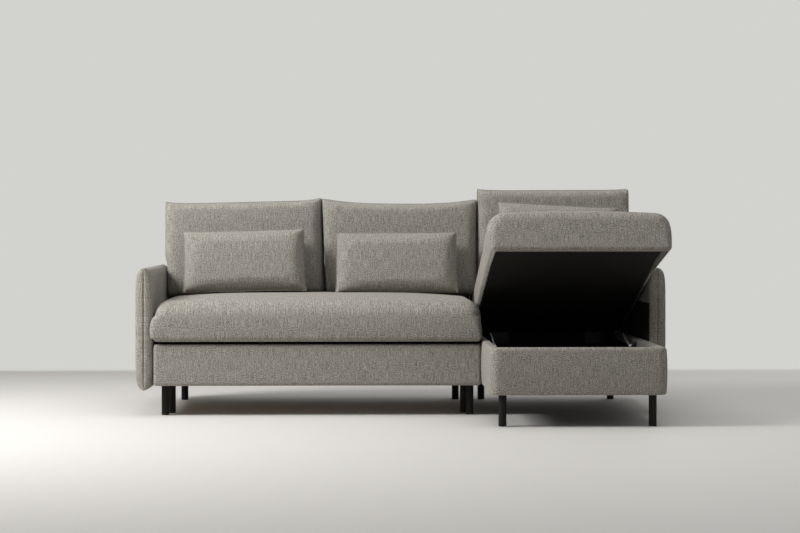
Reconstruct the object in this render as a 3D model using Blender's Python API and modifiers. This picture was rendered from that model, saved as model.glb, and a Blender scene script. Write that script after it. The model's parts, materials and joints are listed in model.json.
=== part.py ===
"""Sofa bed with a storage chaise, in metres, +Z up, front towards -Y.

The origin is on the floor, under the middle of the sofa's overall box. The chaise lid stands
open on its struts and the bed drawer is pushed in.
"""

import math

import bmesh
import bpy
from mathutils import Matrix, Vector

# Overall sizes
WIDTH = 2.14
SOFA_DEPTH = 0.92
CHAISE_REACH = 0.52
CHAISE_WIDTH = 0.675

# Gaps
TOUCH = 0.0003
SIDE_GAP = 0.0015
MODULE_GAP = 0.003
RUNNING_GAP = 0.005

# Legs
LEG_HEIGHT = 0.122
LEG_DIAMETER = 0.031
LEG_RIM = 0.0015
DRAWER_LEG_SETBACK = 0.08
FIXED_LEG_SETBACK = 0.165
REAR_LEG_INSET = 0.075
CHAISE_LEG_SIDE_INSET = 0.049
CHAISE_LEG_FRONT_INSET = 0.06

# Arms and backs
ARM_THICKNESS = 0.067
ARM_TOP = 0.60
ARM_BOTTOM = 0.104
BACK_THICKNESS = 0.10
BACK_TOP = 0.60
BACK_EDGE = 0.02

# Bed base and seat
DRAWER_FRONT_HEIGHT = 0.171
DRAWER_FRONT_THICKNESS = 0.045
DRAWER_FRONT_EDGE = 0.014
SEAT_REVEAL = 0.012
SEAT_BELOW_SEAM = 0.092
SEAT_ABOVE_SEAM = 0.075
SEAT_OVERHANG = 0.004
DECK_THICKNESS = 0.0147
PANEL_THICKNESS = 0.018
RUNNER_WIDTH = 0.088
RUNNER_HEIGHT = 0.028
REAR_RAIL_SETBACK = 0.02

# Pull-out drawer and the mattress in it
DRAWER_SIDE_SETBACK = 0.014
DRAWER_SIDE_HEIGHT = 0.12
DRAWER_REAR_GAP = 0.08
LEG_BLOCK_GAP = 0.0025
LEG_BLOCK_WIDTH = 0.044
LEG_BLOCK_DEPTH = 0.066
MATTRESS_REAR_GAP = 0.02
MATTRESS_THICKNESS = 0.096
MATTRESS_BASE_THICKNESS = 0.015
MATTRESS_BASE_LIFT = 0.012
LIFT_ARM_LENGTH = 0.14
LIFT_ARM_WIDTH = 0.026
LIFT_ARM_THICKNESS = 0.004
LIFT_ARM_GAP = 0.010
LIFT_PIN_DIAMETER = 0.010
LIFT_ARM_INSET = 0.05

# Chaise box
CHAISE_BOX_TOP = 0.305
CHAISE_WALL = 0.035
CHAISE_FRONT_WALL = 0.045
CHAISE_CORNER = 0.034
CHAISE_WALL_EDGE = 0.010
CHAISE_BOTTOM_THICKNESS = 0.012

# Chaise lid
LID_BACK_GAP = 0.035
LID_OPEN_DEG = 16.4
LID_REAR_GAP = 0.012
LID_BOARD_THICKNESS = 0.012
LID_BOARD_INSET = 0.022
LID_BELOW_SEAM = 0.078
LID_ABOVE_SEAM = 0.083
LID_FLARE_LENGTH = 0.36
LID_FLARE_LEFT = -0.03
LID_FLARE_RIGHT = 0.075
HINGE_BARREL_DIAMETER = 0.010
HINGE_PIN_DIAMETER = 0.005
HINGE_PIN_PLAY = 0.0004
HINGE_LEAF_THICKNESS = 0.002
HINGE_LEAF_LENGTH = 0.055
HINGE_WIDTH = 0.07
HINGE_KNUCKLE_SHARE = 0.4
HINGE_SIDE_INSET = 0.10

# Gas struts
STRUT_WALL_OFFSET = 0.024
STRUT_FOOT_FORWARD = 0.665
STRUT_FOOT_DROP = 0.030
STRUT_HEAD_FORWARD = 0.24
STRUT_HEAD_DROP = 0.018
STRUT_ROD_DIAMETER = 0.008
STRUT_ROD_SHARE = 0.62
STRUT_ROD_PLAY = 0.0006
STRUT_CYLINDER_DIAMETER = 0.018
STRUT_CYLINDER_START = 0.50
STRUT_BORE_SHARE = 0.24
STRUT_EYE_DIAMETER = 0.018
STRUT_EYE_WIDTH = 0.010
STRUT_STUD_DIAMETER = 0.007
STRUT_STUD_PLAY = 0.0005
STRUT_HEAD_PLAY = 0.0050
BRACKET_THICKNESS = 0.003
BRACKET_LENGTH = 0.05
BRACKET_HEIGHT = 0.034

# Loose cushions
BACK_CUSHION_GAP = 0.002
BACK_CUSHION_HEIGHT = 0.42
BACK_CUSHION_THICKNESS = 0.175
BACK_CUSHION_LEAN_DEG = 3.0
BACK_CUSHION_SINK = 0.008
RAISED_CUSHION_LIFT = 0.042
PILLOW_WIDTH = 0.525
PILLOW_HEIGHT = 0.278
PILLOW_THICKNESS = 0.13
PILLOW_LEAN_DEG = 9.0
PILLOW_STAND_OFF = 0.020
LEFT_PILLOW_SHIFT = 0.007
LEFT_PILLOW_ROLL_DEG = 2.3
MIDDLE_PILLOW_SHIFT = -0.008
MIDDLE_PILLOW_ROLL_DEG = 0.4
LID_PILLOW_SHIFT = 0.018
LID_PILLOW_ROLL_DEG = -2.7
LID_PILLOW_FORWARD = 0.36
LID_PILLOW_LEAN_DEG = 4.0

# Soft forms: cuts across each face, and how those of the knife-edged ones crowd to the edge
SOFT_CUTS = 7
GRID_SPREAD = 0.62

# Boxed cushions: rounding of the lower and upper edges, swell of the top
ARM_EDGES = (0.030, 0.030)
ARM_CROWN = 0.0
SEAT_EDGES = (0.030, 0.062)
SEAT_CROWN = 0.010
LID_EDGES = (0.022, 0.034)
LID_CROWN = 0.010
MATTRESS_EDGES = (0.030, 0.030)
MATTRESS_CROWN = 0.0

# Knife-edged cushions: squareness of the outline and the sides, pull of the sides
BACK_CUSHION_POWERS = (14, 2.7)
BACK_CUSHION_DRAW_IN = (0.008, 0.014)
PILLOW_POWERS = (12, 1.9)
PILLOW_DRAW_IN = (0.035, 0.06)

# Fabrics and metals: base colour, roughness, metallic
FINISHES = {
    "grey_weave": ((0.26, 0.247, 0.216), 0.92, 0.0),
    "black_lining": ((0.012, 0.012, 0.011), 0.95, 0.0),
    "mattress_ticking": ((0.62, 0.60, 0.55), 0.9, 0.0),
    "panel_board": ((0.42, 0.31, 0.20), 0.7, 0.0),
    "black_paint": ((0.012, 0.012, 0.013), 0.45, 0.0),
    "bright_steel": ((0.62, 0.63, 0.64), 0.28, 1.0),
    "black_steel": ((0.02, 0.02, 0.022), 0.4, 0.6),
}

REAR_Y = (SOFA_DEPTH + CHAISE_REACH) / 2
FRONT_Y = REAR_Y - SOFA_DEPTH
CHAISE_FRONT_Y = FRONT_Y - CHAISE_REACH
BACK_FACE_Y = REAR_Y - BACK_THICKNESS
ARM_INNER_X = WIDTH / 2 - ARM_THICKNESS
BED_LEFT = -ARM_INNER_X + SIDE_GAP
CHAISE_RIGHT = ARM_INNER_X - SIDE_GAP
CHAISE_LEFT = CHAISE_RIGHT - CHAISE_WIDTH
BED_RIGHT = CHAISE_LEFT - MODULE_GAP
BED_MID = (BED_LEFT + BED_RIGHT) / 2
CHAISE_MID = (CHAISE_LEFT + CHAISE_RIGHT) / 2
BASE_Z = LEG_HEIGHT + TOUCH
DRAWER_FRONT_TOP = BASE_Z + DRAWER_FRONT_HEIGHT
DRAWER_BACK_Y = FRONT_Y + DRAWER_FRONT_THICKNESS
SEAT_BOTTOM = DRAWER_FRONT_TOP + SEAT_REVEAL
SEAT_SEAM = SEAT_BOTTOM + SEAT_BELOW_SEAM
SEAT_TOP = SEAT_SEAM + SEAT_ABOVE_SEAM
DECK_BOTTOM = SEAT_BOTTOM - TOUCH - DECK_THICKNESS
RUNNER_TOP = BASE_Z + RUNNER_HEIGHT
REAR_RAIL_Y = BACK_FACE_Y - TOUCH - REAR_RAIL_SETBACK - PANEL_THICKNESS
DRAWER_LENGTH = REAR_RAIL_Y - DRAWER_REAR_GAP - FRONT_Y
DRAWER_LEG_INSET = PANEL_THICKNESS + LEG_BLOCK_GAP + LEG_BLOCK_WIDTH / 2
FIXED_LEG_INSET = PANEL_THICKNESS + TOUCH + RUNNER_WIDTH / 2
HINGE_Y = BACK_FACE_Y - LID_BACK_GAP
HINGE_Z = CHAISE_BOX_TOP
LID_LENGTH = HINGE_Y - CHAISE_FRONT_Y
LID_TOP = LID_BOARD_THICKNESS + LID_BELOW_SEAM + LID_ABOVE_SEAM
CUSHION_WIDTH = (2 * ARM_INNER_X - 4 * BACK_CUSHION_GAP) / 3


def clear_scene():
    """Remove whatever the file holds."""
    for obj in list(bpy.data.objects):
        bpy.data.objects.remove(obj, do_unlink=True)


def new_collection(name):
    collection = bpy.data.collections.new(name)
    bpy.context.scene.collection.children.link(collection)
    return collection


def new_finish(name):
    """A Principled material of the named finish."""
    colour, roughness, metallic = FINISHES[name]
    finish = bpy.data.materials.new(name)
    finish.use_nodes = True
    shader = finish.node_tree.nodes["Principled BSDF"]
    shader.inputs["Base Color"].default_value = (*colour, 1)
    shader.inputs["Roughness"].default_value = roughness
    shader.inputs["Metallic"].default_value = metallic
    return finish


clear_scene()
PARTS = new_collection("sofa_bed_with_chaise")
CUTTERS = new_collection("cutters")
CUTTERS.hide_render = True
MATERIALS = {name: new_finish(name) for name in FINISHES}


def joint_empty(name, location, tilt=0.0, parent=None):
    """An empty on a joint's axis, turned by tilt degrees about X."""
    empty = bpy.data.objects.new(name, None)
    empty.location = location
    empty.rotation_euler.x = math.radians(tilt)
    empty.parent = parent
    PARTS.objects.link(empty)
    return empty


def add_object(name, shape, finish, location, parent=None, smooth=False):
    """Turn a bmesh into a named object."""
    mesh = bpy.data.meshes.new(name)
    bmesh.ops.recalc_face_normals(shape, faces=shape.faces[:])
    shape.to_mesh(mesh)
    shape.free()
    if smooth:
        mesh.shade_smooth()
        mesh.set_sharp_from_angle(angle=math.radians(40))
    mesh.materials.append(MATERIALS[finish])
    obj = bpy.data.objects.new(name, mesh)
    obj.location = location
    obj.parent = parent
    PARTS.objects.link(obj)
    return obj


def block(name, low, high, finish, edge=0.0, parent=None, steps=2):
    """A box between two corners, given in its parent's frame, with its edges rounded."""
    low, high = Vector(low), Vector(high)
    shape = bmesh.new()
    bmesh.ops.create_cube(shape, size=1)
    bmesh.ops.scale(shape, vec=high - low, verts=shape.verts)
    obj = add_object(name, shape, finish, (low + high) / 2, parent)
    if edge:
        rounding = obj.modifiers.new("rounded_edges", "BEVEL")
        rounding.width = edge
        rounding.segments = steps
    return obj


def rod(name, diameter, start, end, finish, parent=None, sides=20):
    """A round bar between two points, given in its parent's frame."""
    start, end = Vector(start), Vector(end)
    shape = bmesh.new()
    bmesh.ops.create_cone(
        shape,
        cap_ends=True,
        segments=sides,
        radius1=diameter / 2,
        radius2=diameter / 2,
        depth=(end - start).length,
    )
    turn = Vector((0, 0, 1)).rotation_difference(end - start).to_matrix()
    bmesh.ops.rotate(shape, verts=shape.verts, matrix=turn)
    return add_object(name, shape, finish, (start + end) / 2, parent, smooth=True)


def combine(obj, other, operation):
    """Join another shape to an object, or cut it away."""
    PARTS.objects.unlink(other)
    CUTTERS.objects.link(other)
    other.hide_render = True
    other.display_type = "WIRE"
    change = obj.modifiers.new(other.name, "BOOLEAN")
    change.operation = operation
    change.object = other


def soft_form(name, place, finish, turn, location, parent=None):
    """A closed soft form. place says where a point of a 2 x 2 x 2 cube lies on it."""
    shape = bmesh.new()
    bmesh.ops.create_cube(shape, size=2)
    bmesh.ops.subdivide_edges(shape, edges=shape.edges[:], cuts=SOFT_CUTS, use_grid_fill=True)
    for vert in shape.verts:
        vert.co = turn @ place(vert.co)
    return add_object(name, shape, finish, location, parent, smooth=True)


def boxed(name, size, rise, edges, crown, finish, turn, location, parent=None):
    """A boxed cushion with a seam in its own XY plane.

    size is its length along X and Y, rise its height below and above the seam, edges the rounding
    of its lower and upper edges and crown how far its top swells above those edges.
    """
    half = (size[0] / 2, size[1] / 2)

    def place(point):
        share = min(1.0, max(0.0, point.z + 0.5))
        radius = edges[0] + (edges[1] - edges[0]) * share
        reach = (*half, rise[1] - crown if point.z > 0 else rise[0])
        core, lean = Vector(), Vector()
        for axis in range(3):
            part, sign = abs(point[axis]), math.copysign(1, point[axis])
            core[axis] = sign * (reach[axis] - radius) * min(1.0, 2 * part)
            lean[axis] = sign * math.tan(math.radians(90 * max(0.0, part - 0.5)))
        spot = core + lean.normalized() * radius
        swell = (1 - (spot.x / half[0]) ** 2) * (1 - (spot.y / half[1]) ** 2)
        spot.z += crown * swell * min(1.0, max(0.0, 2 * point.z))
        return spot

    return soft_form(name, place, finish, turn, location, parent)


def pillowed(name, size, thickness, powers, draw_in, finish, turn, location, parent=None):
    """A knife-edged cushion with its seam in its own XY plane.

    size is its length along X and Y. powers are the squareness of its outline and of its sides,
    and draw_in is how far its sides pull in between the corners.
    """
    half = (size[0] / 2, size[1] / 2)
    outline, section = powers

    def place(point):
        u, v, w = (math.copysign(abs(part) ** GRID_SPREAD, part) for part in point)
        plan = (abs(u) ** outline + abs(v) ** outline) ** (1 / outline)
        scale = (plan**section + abs(w) ** section) ** (1 / section)
        x, y, z = u / scale, v / scale, w / scale
        return Vector(
            (
                half[0] * x * (1 - draw_in[0] * (1 - y * y)),
                half[1] * y * (1 - draw_in[1] * (1 - x * x)),
                z * thickness / 2,
            )
        )

    return soft_form(name, place, finish, turn, location, parent)


def leg(name, x, y, parent=None):
    """One round black leg, its foot on the floor."""
    obj = rod(name, LEG_DIAMETER, (x, y, 0), (x, y, LEG_HEIGHT), "black_paint", parent, sides=24)
    rim = obj.modifiers.new("rim", "BEVEL")
    rim.width = LEG_RIM
    rim.segments = 1
    return obj


FLAT = Matrix.Identity(3)
STAND_FACING_X = Matrix.Rotation(math.radians(90), 3, "Y")
STAND_FACING_Y = Matrix.Rotation(math.radians(90), 3, "X")


def build_arms_and_backs():
    """The two padded arms and the upholstered back of each module."""
    arm_size = (ARM_TOP - ARM_BOTTOM, SOFA_DEPTH)
    half_thickness = ARM_THICKNESS / 2
    middle = ((FRONT_Y + REAR_Y) / 2, (ARM_TOP + ARM_BOTTOM) / 2)
    for name, side in (("left_arm", -1), ("right_arm", 1)):
        boxed(
            name,
            arm_size,
            (half_thickness, half_thickness),
            ARM_EDGES,
            ARM_CROWN,
            "grey_weave",
            STAND_FACING_X,
            (side * (ARM_INNER_X + half_thickness), *middle),
        )
    for name, left, right in (
        ("bed_back", BED_LEFT, BED_RIGHT),
        ("chaise_back", CHAISE_LEFT, CHAISE_RIGHT),
    ):
        block(
            name,
            (left, BACK_FACE_Y, BASE_Z),
            (right, REAR_Y, BACK_TOP),
            "grey_weave",
            BACK_EDGE,
            steps=3,
        )


def build_bed_base():
    """The fixed base under the seat: side panels, runners, rear rail, deck and legs."""
    panel_front = DRAWER_BACK_Y + RUNNING_GAP
    panel_back = BACK_FACE_Y - TOUCH
    runner_front = FRONT_Y + FIXED_LEG_SETBACK - LEG_DIAMETER
    inner_left = BED_LEFT + PANEL_THICKNESS
    inner_right = BED_RIGHT - PANEL_THICKNESS
    panel_top = DECK_BOTTOM - TOUCH
    for side, outer, inner, runner_edge in (
        ("left", BED_LEFT, inner_left, inner_left + TOUCH + RUNNER_WIDTH),
        ("right", BED_RIGHT, inner_right, inner_right - TOUCH - RUNNER_WIDTH),
    ):
        block(
            f"bed_side_panel_{side}",
            (min(outer, inner), panel_front, BASE_Z),
            (max(outer, inner), panel_back, panel_top),
            "panel_board",
        )
        runner_wall = inner + (TOUCH if side == "left" else -TOUCH)
        block(
            f"drawer_runner_{side}",
            (min(runner_wall, runner_edge), runner_front, BASE_Z),
            (max(runner_wall, runner_edge), panel_back, RUNNER_TOP),
            "panel_board",
        )
    block(
        "bed_rear_rail",
        (inner_left + TOUCH, REAR_RAIL_Y, RUNNER_TOP + TOUCH),
        (inner_right - TOUCH, REAR_RAIL_Y + PANEL_THICKNESS, panel_top),
        "panel_board",
    )
    block(
        "seat_deck",
        (BED_LEFT, panel_front, DECK_BOTTOM),
        (BED_RIGHT, panel_back, DECK_BOTTOM + DECK_THICKNESS),
        "black_lining",
    )
    front_leg_y = FRONT_Y + FIXED_LEG_SETBACK
    rear_leg_y = REAR_Y - REAR_LEG_INSET
    for side, leg_x in (
        ("left", BED_LEFT + FIXED_LEG_INSET),
        ("right", BED_RIGHT - FIXED_LEG_INSET),
    ):
        leg(f"bed_front_leg_{side}", leg_x, front_leg_y)
        leg(f"bed_rear_leg_{side}", leg_x, rear_leg_y)


def build_seat():
    """The seat cushion over the bed base."""
    seat_front = FRONT_Y - SEAT_OVERHANG
    seat_back = BACK_FACE_Y - RUNNING_GAP
    boxed(
        "seat_cushion",
        (BED_RIGHT - BED_LEFT, seat_back - seat_front),
        (SEAT_BELOW_SEAM, SEAT_ABOVE_SEAM),
        SEAT_EDGES,
        SEAT_CROWN,
        "grey_weave",
        FLAT,
        (BED_MID, (seat_front + seat_back) / 2, SEAT_SEAM),
    )


def lift_arm(name, x_wall, x_base, start, parent):
    """A steel link between the drawer side and the mattress base, folded flat, with its two pins."""
    inward = math.copysign(1, x_base - x_wall)
    middle = (x_wall + x_base) / 2
    y, z = start
    half = LIFT_ARM_THICKNESS / 2
    obj = rod(
        name,
        LIFT_ARM_WIDTH,
        (middle - half, y, z),
        (middle + half, y, z),
        "black_steel",
        parent,
    )
    far_end = rod(
        f"{name}_far_end",
        LIFT_ARM_WIDTH,
        (middle - half, y + LIFT_ARM_LENGTH, z),
        (middle + half, y + LIFT_ARM_LENGTH, z),
        "black_steel",
        parent,
    )
    bar = block(
        f"{name}_bar",
        (middle - half, y, z - LIFT_ARM_WIDTH / 2),
        (middle + half, y + LIFT_ARM_LENGTH, z + LIFT_ARM_WIDTH / 2),
        "black_steel",
        parent=parent,
    )
    wall_pin = rod(
        f"{name}_wall_pin",
        LIFT_PIN_DIAMETER,
        (middle, y, z),
        (x_wall + inward * TOUCH, y, z),
        "black_steel",
        parent,
    )
    base_pin = rod(
        f"{name}_base_pin",
        LIFT_PIN_DIAMETER,
        (middle, y + LIFT_ARM_LENGTH, z),
        (x_base - inward * TOUCH, y + LIFT_ARM_LENGTH, z),
        "black_steel",
        parent,
    )
    for other in (bar, far_end, wall_pin, base_pin):
        combine(obj, other, "UNION")


def build_drawer():
    """The pull-out drawer, which carries the second mattress and stands on its own front legs."""
    slide = joint_empty("drawer_slide", (BED_MID, FRONT_Y, 0))
    half_width = (BED_RIGHT - BED_LEFT) / 2
    block(
        "drawer_front",
        (-half_width, 0, BASE_Z),
        (half_width, DRAWER_FRONT_THICKNESS, DRAWER_FRONT_TOP),
        "grey_weave",
        DRAWER_FRONT_EDGE,
        slide,
        steps=3,
    )
    side_outer = half_width - PANEL_THICKNESS - DRAWER_SIDE_SETBACK
    side_inner = side_outer - PANEL_THICKNESS
    side_start = DRAWER_FRONT_THICKNESS + TOUCH
    side_bottom = RUNNER_TOP + TOUCH
    side_top = side_bottom + DRAWER_SIDE_HEIGHT
    base_edge = side_inner - LIFT_ARM_GAP
    base_bottom = side_bottom + MATTRESS_BASE_LIFT
    base_top = base_bottom + MATTRESS_BASE_THICKNESS
    base_start = side_start + RUNNING_GAP
    base_end = DRAWER_LENGTH - PANEL_THICKNESS - MATTRESS_REAR_GAP
    leg_x = half_width - DRAWER_LEG_INSET
    for side, sign in (("left", -1), ("right", 1)):
        block(
            f"drawer_side_{side}",
            (min(sign * side_outer, sign * side_inner), side_start, side_bottom),
            (max(sign * side_outer, sign * side_inner), DRAWER_LENGTH, side_top),
            "panel_board",
            parent=slide,
        )
        block(
            f"drawer_leg_block_{side}",
            (sign * leg_x - LEG_BLOCK_WIDTH / 2, side_start, BASE_Z),
            (sign * leg_x + LEG_BLOCK_WIDTH / 2, side_start + LEG_BLOCK_DEPTH, RUNNER_TOP),
            "panel_board",
            parent=slide,
        )
        leg(f"drawer_leg_{side}", sign * leg_x, DRAWER_LEG_SETBACK, slide)
        for place, y in (
            ("front", base_start + LIFT_ARM_INSET),
            ("rear", base_end - LIFT_ARM_INSET - LIFT_ARM_LENGTH),
        ):
            lift_arm(
                f"mattress_lift_arm_{place}_{side}",
                sign * side_inner,
                sign * base_edge,
                (y, (base_bottom + base_top) / 2 + RUNNING_GAP),
                slide,
            )
    block(
        "drawer_rear_rail",
        (-side_inner + TOUCH, DRAWER_LENGTH - PANEL_THICKNESS, side_bottom),
        (side_inner - TOUCH, DRAWER_LENGTH, side_top),
        "panel_board",
        parent=slide,
    )
    block(
        "mattress_base",
        (-base_edge, base_start, base_bottom),
        (base_edge, base_end, base_top),
        "panel_board",
        parent=slide,
    )
    boxed(
        "pull_out_mattress",
        (2 * base_edge, base_end - base_start),
        (MATTRESS_THICKNESS / 2, MATTRESS_THICKNESS / 2),
        MATTRESS_EDGES,
        MATTRESS_CROWN,
        "mattress_ticking",
        FLAT,
        (0, (base_start + base_end) / 2, base_top + TOUCH + MATTRESS_THICKNESS / 2),
        slide,
    )


def build_chaise_box():
    """The storage box: four walls, bottom and legs."""
    wall_start = CHAISE_FRONT_Y + CHAISE_FRONT_WALL + TOUCH
    wall_end = BACK_FACE_Y - TOUCH
    inner_left = CHAISE_LEFT + CHAISE_WALL
    inner_right = CHAISE_RIGHT - CHAISE_WALL
    front = block(
        "chaise_front_wall",
        (CHAISE_LEFT, CHAISE_FRONT_Y, BASE_Z),
        (CHAISE_RIGHT, CHAISE_FRONT_Y + CHAISE_FRONT_WALL, CHAISE_BOX_TOP),
        "grey_weave",
    )
    round_front_corners(front)
    for name, left, right in (
        ("chaise_left_wall", CHAISE_LEFT, inner_left),
        ("chaise_right_wall", inner_right, CHAISE_RIGHT),
    ):
        block(
            name,
            (left, wall_start, BASE_Z),
            (right, wall_end, CHAISE_BOX_TOP),
            "grey_weave",
            CHAISE_WALL_EDGE,
        )
    block(
        "chaise_bottom",
        (inner_left + TOUCH, wall_start, BASE_Z),
        (inner_right - TOUCH, wall_end, BASE_Z + CHAISE_BOTTOM_THICKNESS),
        "black_lining",
    )
    hinge_wall_y = HINGE_Y + HINGE_BARREL_DIAMETER / 2 + HINGE_LEAF_THICKNESS / 2
    block(
        "chaise_hinge_wall",
        (inner_left + TOUCH, hinge_wall_y, BASE_Z + CHAISE_BOTTOM_THICKNESS + TOUCH),
        (inner_right - TOUCH, wall_end, CHAISE_BOX_TOP),
        "black_lining",
    )
    front_leg_y = CHAISE_FRONT_Y + CHAISE_LEG_FRONT_INSET
    rear_leg_y = REAR_Y - REAR_LEG_INSET
    for side, leg_x in (
        ("left", CHAISE_LEFT + CHAISE_LEG_SIDE_INSET),
        ("right", CHAISE_RIGHT - CHAISE_LEG_SIDE_INSET),
    ):
        leg(f"chaise_front_leg_{side}", leg_x, front_leg_y)
        leg(f"chaise_rear_leg_{side}", leg_x, rear_leg_y)


def round_front_corners(wall):
    """Round the upright front corners of the chaise, then its long front edges."""
    shape = bmesh.new()
    shape.from_mesh(wall.data)
    front = min(vert.co.y for vert in shape.verts)
    corners = [
        edge
        for edge in shape.edges
        if all(abs(vert.co.y - front) < TOUCH for vert in edge.verts)
        and abs(edge.verts[0].co.x - edge.verts[1].co.x) < TOUCH
    ]
    bmesh.ops.bevel(
        shape, geom=corners, offset=CHAISE_CORNER, segments=5, profile=0.5, affect="EDGES"
    )
    shape.to_mesh(wall.data)
    shape.free()
    rounding = wall.modifiers.new("rounded_edges", "BEVEL")
    rounding.width = CHAISE_WALL_EDGE
    rounding.segments = 2


def build_lid():
    """The chaise lid, open on its hinges: board, cushion and moving hinge leaves."""
    hinge = joint_empty("lid_hinge", (CHAISE_MID, HINGE_Y, HINGE_Z), -LID_OPEN_DEG)
    half_width = CHAISE_WIDTH / 2
    board_back = -HINGE_BARREL_DIAMETER
    block(
        "lid_board",
        (-half_width + LID_BOARD_INSET, -LID_LENGTH + LID_BOARD_INSET, TOUCH),
        (half_width - LID_BOARD_INSET, board_back, LID_BOARD_THICKNESS),
        "black_lining",
        parent=hinge,
    )
    seam = LID_BOARD_THICKNESS + TOUCH + LID_BELOW_SEAM
    cushion_length = LID_LENGTH - LID_REAR_GAP
    cushion = boxed(
        "lid_cushion",
        (CHAISE_WIDTH, cushion_length),
        (LID_BELOW_SEAM, LID_ABOVE_SEAM),
        LID_EDGES,
        LID_CROWN,
        "grey_weave",
        FLAT,
        (0, -LID_REAR_GAP - cushion_length / 2, seam),
        hinge,
    )
    for vert in cushion.data.vertices:
        ahead = (LID_FLARE_LENGTH - cushion_length / 2 - vert.co.y) / LID_FLARE_LENGTH
        flare = LID_FLARE_RIGHT if vert.co.x > 0 else LID_FLARE_LEFT
        vert.co.x *= 1 + flare * max(0.0, ahead)
    build_hinges(hinge)
    return hinge


def build_hinges(hinge):
    """Two butt hinges: the fixed leaf holds the pin, the moving leaf turns on it."""
    half = HINGE_WIDTH / 2
    knuckle = HINGE_WIDTH * HINGE_KNUCKLE_SHARE / 2
    leaf = HINGE_LEAF_THICKNESS
    bore = HINGE_PIN_DIAMETER + 2 * HINGE_PIN_PLAY
    for side, sign in (("left", -1), ("right", 1)):
        middle = sign * (CHAISE_WIDTH / 2 - CHAISE_WALL - HINGE_SIDE_INSET)
        moving = block(
            f"lid_hinge_moving_leaf_{side}",
            (middle - knuckle, -HINGE_LEAF_LENGTH, -leaf),
            (middle + knuckle, -bore / 2 - leaf / 2, 0),
            "black_steel",
            parent=hinge,
        )
        barrel = rod(
            f"lid_hinge_moving_barrel_{side}",
            HINGE_BARREL_DIAMETER,
            (middle - knuckle, 0, 0),
            (middle + knuckle, 0, 0),
            "black_steel",
            hinge,
        )
        bore_rod = rod(
            f"lid_hinge_bore_{side}",
            bore,
            (middle - half, 0, 0),
            (middle + half, 0, 0),
            "black_steel",
            hinge,
        )
        combine(moving, barrel, "UNION")
        combine(moving, bore_rod, "DIFFERENCE")
        fixed_leaf(side, CHAISE_MID + middle, half, knuckle)


def fixed_leaf(side, middle, half, knuckle):
    """The leaf on the hinge wall, with its two outer knuckles and the pin between them."""
    leaf_y = HINGE_Y + HINGE_BARREL_DIAMETER / 2 + HINGE_LEAF_THICKNESS / 2 - TOUCH
    leaf_top = HINGE_Z - HINGE_BARREL_DIAMETER / 2 - TOUCH
    pin_end = half - HINGE_LEAF_THICKNESS
    fixed = block(
        f"lid_hinge_fixed_leaf_{side}",
        (middle - half, leaf_y - HINGE_LEAF_THICKNESS, HINGE_Z - HINGE_LEAF_LENGTH),
        (middle + half, leaf_y, leaf_top),
        "black_steel",
    )
    pin = rod(
        f"lid_hinge_pin_{side}",
        HINGE_PIN_DIAMETER,
        (middle - pin_end, HINGE_Y, HINGE_Z),
        (middle + pin_end, HINGE_Y, HINGE_Z),
        "black_steel",
    )
    combine(fixed, pin, "UNION")
    for place, sign in (("a", -1), ("b", 1)):
        outer = middle + sign * half
        inner = middle + sign * (knuckle + HINGE_PIN_PLAY)
        barrel = rod(
            f"lid_hinge_fixed_barrel_{side}_{place}",
            HINGE_BARREL_DIAMETER,
            (min(outer, inner), HINGE_Y, HINGE_Z),
            (max(outer, inner), HINGE_Y, HINGE_Z),
            "black_steel",
        )
        tie = block(
            f"lid_hinge_fixed_tie_{side}_{place}",
            (min(outer, inner), leaf_y - HINGE_LEAF_THICKNESS, HINGE_Z - HINGE_BARREL_DIAMETER),
            (max(outer, inner), leaf_y, HINGE_Z),
            "black_steel",
        )
        combine(fixed, barrel, "UNION")
        combine(fixed, tie, "UNION")


def strut_ends():
    """The strut's foot on the box and its head on the open lid, as (y, z)."""
    tilt = math.radians(LID_OPEN_DEG)
    foot = Vector((HINGE_Y - STRUT_FOOT_FORWARD, HINGE_Z - STRUT_FOOT_DROP))
    head = Vector(
        (
            HINGE_Y - STRUT_HEAD_FORWARD * math.cos(tilt) - STRUT_HEAD_DROP * math.sin(tilt),
            HINGE_Z + STRUT_HEAD_FORWARD * math.sin(tilt) - STRUT_HEAD_DROP * math.cos(tilt),
        )
    )
    return foot, head


def build_struts(hinge):
    """A gas strut on each side: foot bracket, rod, cylinder and the bracket under the lid."""
    foot, head = strut_ends()
    length = (head - foot).length
    slope = math.degrees(math.atan2(head.y - foot.y, head.x - foot.x))
    for side, sign in (("left", -1), ("right", 1)):
        wall_x = CHAISE_MID + sign * (CHAISE_WIDTH / 2 - CHAISE_WALL)
        strut_x = wall_x - sign * STRUT_WALL_OFFSET
        foot_bracket(side, sign, wall_x, strut_x, foot)
        lid_bracket(side, sign, strut_x - CHAISE_MID, hinge)
        pivot = joint_empty(f"strut_pivot_{side}", (strut_x, foot.x, foot.y), slope)
        strut_rod(side, length, pivot)
        strut_cylinder(side, length, pivot)


def foot_bracket(side, sign, wall_x, strut_x, foot):
    """A plate on the box wall with the stud that the rod's eye turns on."""
    plate_near = wall_x - sign * TOUCH
    plate_far = plate_near - sign * BRACKET_THICKNESS
    stud_end = strut_x - sign * STRUT_EYE_WIDTH
    plate = block(
        f"strut_foot_bracket_{side}",
        (min(plate_near, plate_far), foot.x - BRACKET_LENGTH / 2, foot.y - BRACKET_HEIGHT / 2),
        (max(plate_near, plate_far), foot.x + BRACKET_LENGTH / 2, foot.y + BRACKET_HEIGHT / 2),
        "black_steel",
    )
    stud = rod(
        f"strut_foot_stud_{side}",
        STRUT_STUD_DIAMETER,
        ((plate_near + plate_far) / 2, foot.x, foot.y),
        (stud_end, foot.x, foot.y),
        "black_steel",
    )
    combine(plate, stud, "UNION")


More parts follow.
